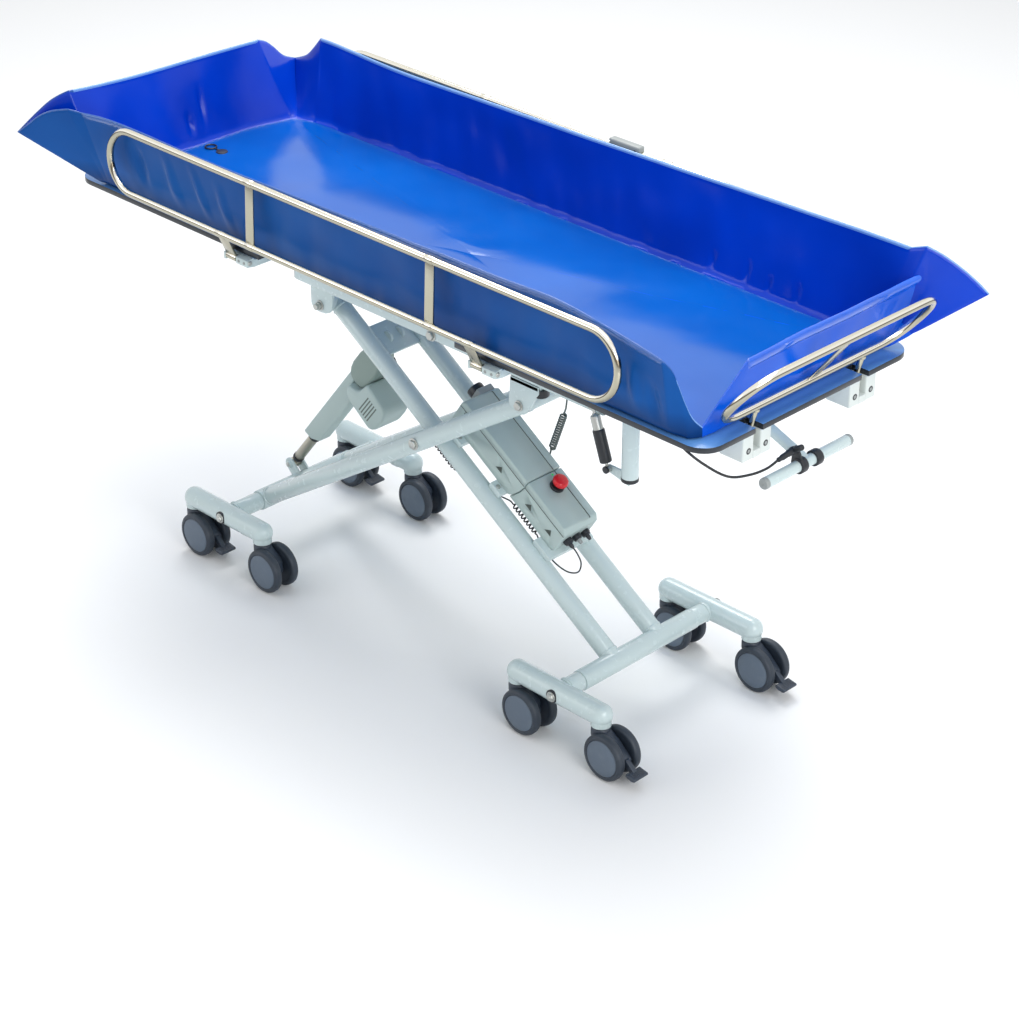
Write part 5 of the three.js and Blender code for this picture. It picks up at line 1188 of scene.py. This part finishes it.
def makeRails():
    size = railSizes
    r = size["radius"]
    for where, way in (("near", -1), ("far", 1)):
        low, high, hinge = [(way * size[key][0], size[key][1]) for key in ("low", "high", "hinge")]
        form = Form()
        form.sweep(loop(*size["side"], low, high), r, 24, True)
        for x in size["bars"]:
            flatBar(form, x, low, high, 14, 5)
            for spot in (low, high):
                form.rod((x - 14.5, *spot), (x + 14.5, *spot), r + 0.7, 0.7, 24)
        for x in size["legs"]:
            flatBar(form, x, hinge, low, 17.5, 5)
            form.rod((x - 17.5, *hinge), (x + 17.5, *hinge), r, 0.8, 28)
            form.rod((x - 18, *low), (x + 18, *low), r + 0.7, 0.7, 24)
        if where == "far":  # pale block on the rail, with a dark hole
            form.block(*size["farBlock"], 4, 3, 1)
            # painted shade: a black disc stands in for the shade inside the hole
            form.cross(size["farHole"], 380.4, 384, 4, 0.4, 20, 2)
        form.make(f"sideRail{where.title()}", ["steel", "grey", "black"], f"{where}_rail",
                  [f"side_rail_{where}"], "stainless_tube", 40)
    low, high, hinge = [(-size[key][0], size[key][1]) for key in ("endLow", "endHigh", "endHinge")]
    form = Form(Matrix.Rotation(math.radians(90), 4, "Z"))
    form.sweep(loop(-size["endHalf"], size["endHalf"], low, high), r, 24, True)
    flatBar(form, 0, low, high, 14, 5)
    for y in (-size["endPost"], size["endPost"]):
        form.rod((y, *low), (y, *hinge), 7, 0.4, 28)
        form.rod((y - 9, *hinge), (y + 9, *hinge), r, 0.8, 28)
        form.rod((y, low[0], low[1] - 12), (y, low[0], low[1] - 5), 8, 0.8, 28)
    form.make("endRailRight", ["endSteel"], "right_rail", ["end_rail_right"], "stainless_tube", 40)
    print("board and rails made")


makeRails()


# Soft tub: rim points beside the floor points below them, counter-clockwise from above, one stretch
# after the other between sharp corners. Each stretch has its share of the full hem, of the folds (soft)
# and the slot of its outside finish (skin)
# skin 2 is the right end's brighter copy of the outside cloth: painted light
tubStretches = [
    # near left ear
    {"hem": 0, "soft": 0.12, "skin": 1, "rows": [((-1166, -456, 1124), (-966, -345)),
        ((-1133.6, -446, 1150.5), (-962.5, -345.2)), ((-1101.2, -436.3, 1178.2), (-959, -345.5)),
        ((-1064, -423.2, 1199.6), (-955.5, -345.8))]},
    {"hem": 0, "soft": 0.3, "skin": 1, "rows": [((-1016.5, -404, 1212.5), (-952, -346))]},
    # near wall
    {"hem": 1, "soft": 1, "skin": 1, "rows": [((-988, -384, 1205), (-935, -346)),
        ((-897, -368, 1207.5), (-883.5, -346)), ((-529, -368, 1206.5), (-521.1, -346)),
        ((-167, -368, 1212.5), (-164.5, -346)), ((171, -368, 1219.5), (168.4, -346)),
        ((488, -368, 1224), (480.7, -346)), ((669, -368, 1228), (659, -346)),
        ((844, -368, 1206), (831.3, -346))]},
    # lip of the near right corner
    {"hem": 0, "soft": 0.4, "skin": 1, "rows": [((956.9, -372, 1190.7), (965, -346)),
        ((970, -356, 1167.7), (978.4, -343.2)), ((981.9, -345.9, 1132.3), (986.8, -340.4)),
        ((993.7, -336.9, 1093.5), (995.2, -337.6)), ((1007, -324.8, 1056.2), (1003.6, -334.8))]},
    {"hem": 0, "soft": 0.3, "skin": 2, "rows": [((1019.5, -309.3, 1035), (1019, -308)),
        ((1026.2, -286.8, 1064.7), (1023.7, -276.7)), ((1038.1, -246.1, 1116.8), (1025.3, -258.3))]},
    # right end wall
    {"hem": 2.0, "soft": 0.8, "skin": 2, "rows": [((1050, -205.5, 1167.5), (1026, -215)),
        ((1050, -36, 1173), (1025, -34.2)), ((1050, 134, 1173), (1025, 127.3)),
        ((1050, 309, 1175), (1025, 293.6))]},
    # far right ear
    {"hem": 0, "soft": 0.12, "skin": 2, "rows": [((1069.4, 408, 1190.2), (1028, 298)),
        ((1096, 427.5, 1190.8), (1027.5, 299)), ((1125.3, 444.7, 1181.4), (1027, 300)),
        ((1151.9, 457.3, 1165.2), (1026.5, 301))]},
    {"hem": 0, "soft": 0.12, "skin": 1, "rows": [((1180, 467.2, 1140.2), (1026, 302)),
        ((1152.9, 445.4, 1175), (1023.5, 304.2)), ((1125.6, 422.9, 1204.2), (1021, 306.5)),
        ((1094.7, 396.6, 1232.4), (1018.5, 308.8))]},
    {"hem": 0, "soft": 0.3, "skin": 1, "rows": [((1068.9, 374, 1250.6), (1016, 311))]},
    # far wall
    {"hem": 0.5, "soft": 1, "skin": 1, "rows": [((1030, 371, 1236.5), (985, 317)),
        ((935, 368, 1238), (906.9, 321)), ((703, 368, 1234), (681.9, 321)),
        ((398, 368, 1228), (386.1, 321)), ((75, 368, 1222), (72.8, 321)),
        ((-269, 368, 1218), (-260.9, 321)), ((-636, 368, 1214), (-616.9, 321)),
        ((-880, 372, 1222), (-850, 320))]},
    # dip of the far left corner
    {"hem": 0, "soft": 0.3, "skin": 1, "rows": [((-939.3, 376, 1219.5), (-905, 317)),
        ((-971.5, 377.5, 1184.4), (-922.7, 310.7)), ((-1003.2, 382.1, 1156.8), (-940.3, 304.3))]},
    {"hem": 0, "soft": 0.3, "skin": 1, "rows": [((-1085, 407.6, 1119.1), (-958, 298)),
        ((-1068.3, 349.6, 1146.9), (-961, 295.2)), ((-1068.4, 315.9, 1179.5), (-964, 292.5)),
        ((-1065.4, 288.1, 1201.3), (-967, 289.8))]},
    # left end wall
    {"hem": 0.4, "soft": 0.7, "skin": 1, "rows": [((-1055, 253.7, 1216.9), (-970, 287)),
        ((-1055, 170, 1219), (-997, 150)), ((-1055, 57, 1222), (-998, 53)),
        ((-1055, -142, 1226), (-998, -132.1)), ((-1055, -270, 1233), (-990, -251.1))]},
    # near left ear again
    {"hem": 0, "soft": 0.12, "skin": 1, "rows": [((-1062, -364, 1238), (-972, -338)),
        ((-1079.4, -377.8, 1227), (-970.8, -339.4)), ((-1100.1, -395, 1210), (-969.6, -340.8)),
        ((-1125.5, -417.9, 1179.9), (-968.4, -342.2)), ((-1145.8, -436.8, 1152.6), (-967.2, -343.6))]},
]
tub = {"half": 1.7, "floor": 1009.2, "middle": (13, 0), "step": 6.0, "round": 7, "foot": 0.06,
       "walls": 28, "hemWide": 2.6, "hemHigh": 5.6, "hemEnd": 14, "calmEnd": 70, "foldReach": 160,
       "flat": (1.09, 2.43),  # of its cloth, in metres
       "floorShares": [0.05, 0.12, 0.19, 0.26, 0.33, 0.4, 0.46, 0.52, 0.58, 0.63, 0.68, 0.73, 0.775, 0.82,
                       0.86, 0.895, 0.925, 0.95, 0.97, 0.985, 0.995],
       "rimTurns": [225, 200, 180, 160, 140, 120, 100, 80, 60, 40, 20, 0, -20, -45],
       # pinches of the hem: place along X on the near side, half width, share of the hem pressed flat
       "pinches": [(-980, 9, 0.5), (-884, 5, 0.5), (-866, 4, 0.6), (-850, 5, 0.5), (-776, 4, 0.7),
                   (-621, 4, 0.45), (-477, 4, 0.5), (-307, 4, 0.6), (-235, 3, 0.35), (-169, 4, 0.55),
                   (13, 4, 0.4), (105, 3, 0.35), (236, 4, 0.45), (407, 4, 0.5), (560, 4, 0.4),
                   (708, 4, 0.6), (775, 5, 0.5), (842, 4, 0.4), (905, 4, 0.6), (918, 5, 0.6),
                   (934, 5, 0.7), (948, 5, 0.5)],
       # folds pressed into a wall: rim point above, lean along the rim, low and high share of the wall,
       # half width, depth
       "folds": [((-1055, -28), 8, 0.1, 0.44, 13, 9), ((-1055, 30), -6, 0.16, 0.7, 12, 7),
                 ((860, -368), 26, 0.1, 0.8, 20, 9), ((905, -370), 30, 0.05, 0.7, 22, -8),
                 ((-700, -368), 60, 0.1, 0.9, 26, 7), ((-600, -368), 70, 0.1, 0.9, 22, 6),
                 ((-500, -368), 50, 0.08, 0.8, 26, 6), ((-820, -368), 60, 0.2, 0.9, 26, -7),
                 ((760, 368), 10, 0.02, 0.3, 12, 7), ((690, 368), -8, 0.02, 0.26, 11, 6),
                 ((600, 368), 12, 0.02, 0.34, 14, 6), ((500, 368), 0, 0.02, 0.3, 13, 6)]}


def ripple(spot, seed):
    return noise.noise(Vector(spot) + Vector((seed * 7.3, seed * 3.1, seed * 5.7)))


def tubColumns():
    made = []
    for at, stretch in enumerate(tubStretches):
        rows = stretch["rows"] + [tubStretches[(at + 1) % len(tubStretches)]["rows"][0]]
        rims = [Vector(rim) for rim, _ in rows]
        feet = [Vector((*foot, tub["floor"])) for _, foot in rows]
        counts = [max(3, round((b - a).length / tub["step"])) for a, b in zip(rims, rims[1:])]
        rims, feet = spline(rims, False, counts), spline(feet, False, counts)
        last = len(rims) - 1
        for k in range(last):
            # the hem tapers and the folds calm down towards both ends
            near = min(min(k, last - k) * tub["step"] / tub["hemEnd"], 1.0)
            calm = min(min(k, last - k) * tub["step"] / tub["calmEnd"], 1.0)
            made.append({"top": rims[k], "foot": feet[k], "hem": stretch["hem"] * near ** 0.5,
                         "skin": stretch["skin"], "soft": stretch["soft"] * (0.25 + 0.75 * calm)})
    count = len(made)
    run = 0.0
    for at, column in enumerate(made):
        along = made[(at + 4) % count]["foot"] - made[at - 4]["foot"]
        column["way"] = Vector((along.y, -along.x, 0)).normalized()
        column["run"] = run
        run += (made[(at + 1) % count]["top"] - column["top"]).length
        pinch = 0.0
        if column["hem"] == 1 or column["top"].y < -360:
            for x, wide, share in tub["pinches"]:
                pinch = max(pinch, share * max(0.0, 1 - ((column["top"].x - x) / wide) ** 2))
        column["pinch"] = pinch
        wave = 1 + 0.1 * ripple((run * 0.03, 0, 0), 6)
        column["wide"] = tub["half"] + column["hem"] * tub["hemWide"] * (1 - pinch) * wave
        column["high"] = tub["half"] + column["hem"] * tub["hemHigh"] * (1 - 0.4 * pinch)
    return made


def floorLift(spot):
    # waves that run across the tub's floor, longer from side to side of the picture than in depth
    along, deep = (spot.x + spot.y) * 0.0007, (spot.y - spot.x) * 0.0007
    swell = ripple((along * 2.2, deep * 5.5, 0), 1) * 5.0
    fine = ripple((along * 5.0, deep * 15.0, 0.4), 2) * 1.5
    return max(0.0, swell + fine + 3.0)


def foldPush(column, s):
    push = 0.0
    top = column["top"]
    for (x, y), lean, low, high, wide, deep in tub["folds"]:
        if abs(top.x - x) + abs(top.y - y) > tub["foldReach"]:
            continue
        along = (top.y - y if abs(x) > 1000 else top.x - x) - lean * (1 - s)
        if low < s < high and abs(along) < wide:
            swell = math.sin(math.pi * (s - low) / (high - low)) ** 1.5
            push += deep * (1 - (along / wide) ** 2) ** 2 * swell
    return push


def tubRows(columns):
    middle = Vector((*tub["middle"], tub["floor"]))
    inward = [column["foot"] - column["way"] * tub["round"] for column in columns]
    rows = []
    for share in tub["floorShares"]:
        row = [middle.lerp(spot, share) for spot in inward]
        for spot in row:
            spot.z += floorLift(spot) * min(1.0, (1 - share) * 7)
        rows.append(row)
    for k in range(tub["walls"] + 1):
        row = []
        for column in columns:
            foot, top, way = column["foot"], column["top"], column["way"]
            s = k / tub["walls"] * (1 - 2 * column["high"] / (top - foot).length)
            spot = foot.lerp(top, s) - way * (tub["round"] * (1 - min(1.0, s / tub["foot"])) ** 2)
            path = column["run"] * 0.001 - s * 0.05
            fold = ripple((path * 6.0, s * 1.2, 0), 3) * 7 + ripple((path * 14, s * 1.1, 0), 4) * 4.5
            gather = ripple((path * 22, 0, 0), 5) * 4.5 * max(0.0, 1 - s / 0.35)
            rise = math.sin(math.pi * min(1.0, s * 0.96 + 0.03))
            spot += way * ((3 + fold) * rise + gather * min(1.0, s * 25)) * column["soft"]
            spot += way * foldPush(column, s)
            row.append(spot)
        rows.append(row)
    return rows


def sewTub(part, columns, rows):
    # two skins, the floor's hubs and the rim rolled over between them
    count, levels, half = len(columns), len(rows), tub["half"]
    floorRows = len(tub["floorShares"])
    skins = [[], []]
    rimWays = []
    for level, row in enumerate(rows):
        under, over = rows[max(level - 1, 0)], rows[min(level + 1, levels - 1)]
        ways = [(row[(at + 1) % count] - row[at - 1]).cross(over[at] - under[at]).normalized()
                for at in range(count)]
        for skin, side in zip(skins, (-half, half)):
            skin.append([part.verts.new(spot + way * side) for spot, way in zip(row, ways)])
        rimWays = ways
    for which, skin in enumerate(skins):
        for level, (low, high) in enumerate(zip(skin, skin[1:])):
            for at in range(count):
                n = (at + 1) % count
                face = part.faces.new((low[at], low[n], high[n], high[at]))
                # outside: skin 2 is the right end's lit copy of the cloth (painted light); inside: the floor
                # rows take the floor's lit copy (painted light)
                face.material_index = columns[at]["skin"] if which else (5 if level < floorRows else 0)
        hub = part.verts.new(Vector((*tub["middle"], tub["floor"] + (half, -half)[which] + 3)))
        for at in range(count):
            face = part.faces.new((hub, skin[0][at], skin[0][(at + 1) % count]))
            face.material_index = (5, 1)[which]
    bands = [skins[0][-1]]
    for turn in tub["rimTurns"]:
        angle = math.radians(turn)
        band = []
        for at, column in enumerate(columns):
            up = (column["top"] - column["foot"]).normalized()
            spot = rows[-1][at] + up * (column["high"] * (1 + math.sin(angle)))
            band.append(part.verts.new(spot + rimWays[at] * (column["wide"] * math.cos(angle))))
        bands.append(band)
    bands.append(skins[1][-1])
    for low, high in zip(bands, bands[1:]):
        for at in range(count):
            n = (at + 1) % count
            face = part.faces.new((low[at], low[n], high[n], high[at]))
            # rolled rims: the right end's brighter hem (painted light), the near hem, and elsewhere the pale
            # rim (painted highlight)
            face.material_index = 4 if columns[at]["skin"] == 2 else 3 if columns[at]["top"].y < -350 else 6


def makeTub():
    columns = tubColumns()
    part = bmesh.new()
    sewTub(part, columns, tubRows(columns))
    form = Form()
    form.take(part, keepSlots=True)
    finishes = ["linerIn", "linerOut", "linerEnd", "linerHem", "linerLitEndHem", "linerLitFloor", "linerHighlightRim"]
    piece = form.make("tubLiner", finishes, "bed", ["liner"], "blue_liner", 70)
    print("tub made:", len(piece.data.polygons), "faces")


# Drain plug with its pull ring
plugSizes = {"low": 998, "top": 1011.6, "radius": 11, "ringAway": 44, "ringRadius": 15, "wire": 2,
             "sides": 28}


def makePlug():
    size = plugSizes
    (x, y), top, sides, radius = boardSizes["drain"], size["top"], size["sides"], size["ringRadius"]
    form = Form()
    form.rod((x, y, size["low"]), (x, y, top + 1), size["radius"], 0.5, 32)
    form.lathe([(0, top), (15.5, top), (16, top + 1.2), (15, top + 3), (7, top + 4), (0, top + 4)],
               (x, y, 0), (0, 0, 1), 36)
    form.block(x - 30, x - 10, y - 2, y + 2, top + 1, top + 4, 0.8, 2)
    ring = [(x - size["ringAway"] + radius * math.cos(2 * math.pi * k / sides),
             y + radius * math.sin(2 * math.pi * k / sides), top + 3) for k in range(sides)]
    form.sweep(ring, size["wire"], 12, True)
    form.make("drainPlug", ["black"], "drain_plug", ["drain_plug"], "black_plastic")


makeTub()
makePlug()


# Stage, light and view
stageSizes = {"floor": 40.0, "white": (0.93, 0.94, 0.95, 1), "sky": (0.92, 0.93, 0.94, 1), "skyLight": 0.55,
              "lamps": [
    {"name": "key", "place": (-2.6, 2.2, 5.4), "aim": (0, 0, 0.8), "size": 3.2, "power": 170},
    {"name": "top", "place": (0.6, 0.4, 5.6), "aim": (0, 0, 0.5), "size": 3.4, "power": 130},
    {"name": "fill", "place": (5.0, -1.4, 2.8), "aim": (0, 0, 0.7), "size": 3.2, "power": 120},
    {"name": "side", "place": (-3.4, -4.8, 2.8), "aim": (0, 0, 0.7), "size": 3.2, "power": 40}]}


def makeStage():
    size = stageSizes
    # the world lights the trolley softly, and shows white to the camera and in what reflects it
    sky = Net("studio", bpy.data.worlds.new("studio"))
    bpy.context.scene.world = sky.holder
    light = sky.node("ShaderNodeBackground", None, {"Color": size["sky"], "Strength": size["skyLight"]})[0]
    seen = sky.node("ShaderNodeBackground", None, {"Color": (1, 1, 1, 1), "Strength": 1.0})[0]
    rays = sky.node("ShaderNodeLightPath")
    white = rays["Is Camera Ray"]
    for kind in ("Is Glossy Ray", "Is Transmission Ray"):
        white = white.maths("MAXIMUM", white, rays[kind])
    mixed = sky.node("ShaderNodeMixShader", None, {0: white, 1: light, 2: seen})[0]
    sky.node("ShaderNodeOutputWorld", None, {"Surface": mixed})
    net = Net("paleFloor")
    tint = net.mix(net.cloud(0.8, 1) * 0.3, size["white"], darker(size["white"], 0.98))
    net.surface(Base_Color=tint, Roughness=0.6)
    data = bpy.data.meshes.new("floor")
    reach = size["floor"]
    corners = [(-reach, -reach, 0), (reach, -reach, 0), (reach, reach, 0), (-reach, reach, 0)]
    data.from_pydata(corners, [], [(0, 1, 2, 3)])
    data.materials.append(net.holder)
    floor = bpy.data.objects.new("floor", data)
    bpy.context.scene.collection.objects.link(floor)
    for lamp in size["lamps"]:
        data = bpy.data.lights.new(lamp["name"], "AREA")
        data.shape, data.size, data.energy = "DISK", lamp["size"], lamp["power"]
        holder = bpy.data.objects.new(lamp["name"], data)
        bpy.context.scene.collection.objects.link(holder)
        holder.location = lamp["place"]
        away = Vector(lamp["aim"]) - Vector(lamp["place"])
        holder.rotation_euler = away.to_track_quat("-Z", "Y").to_euler()
    bpy.context.scene.view_settings.view_transform = "Standard"
    print("stage made")


makeStage()
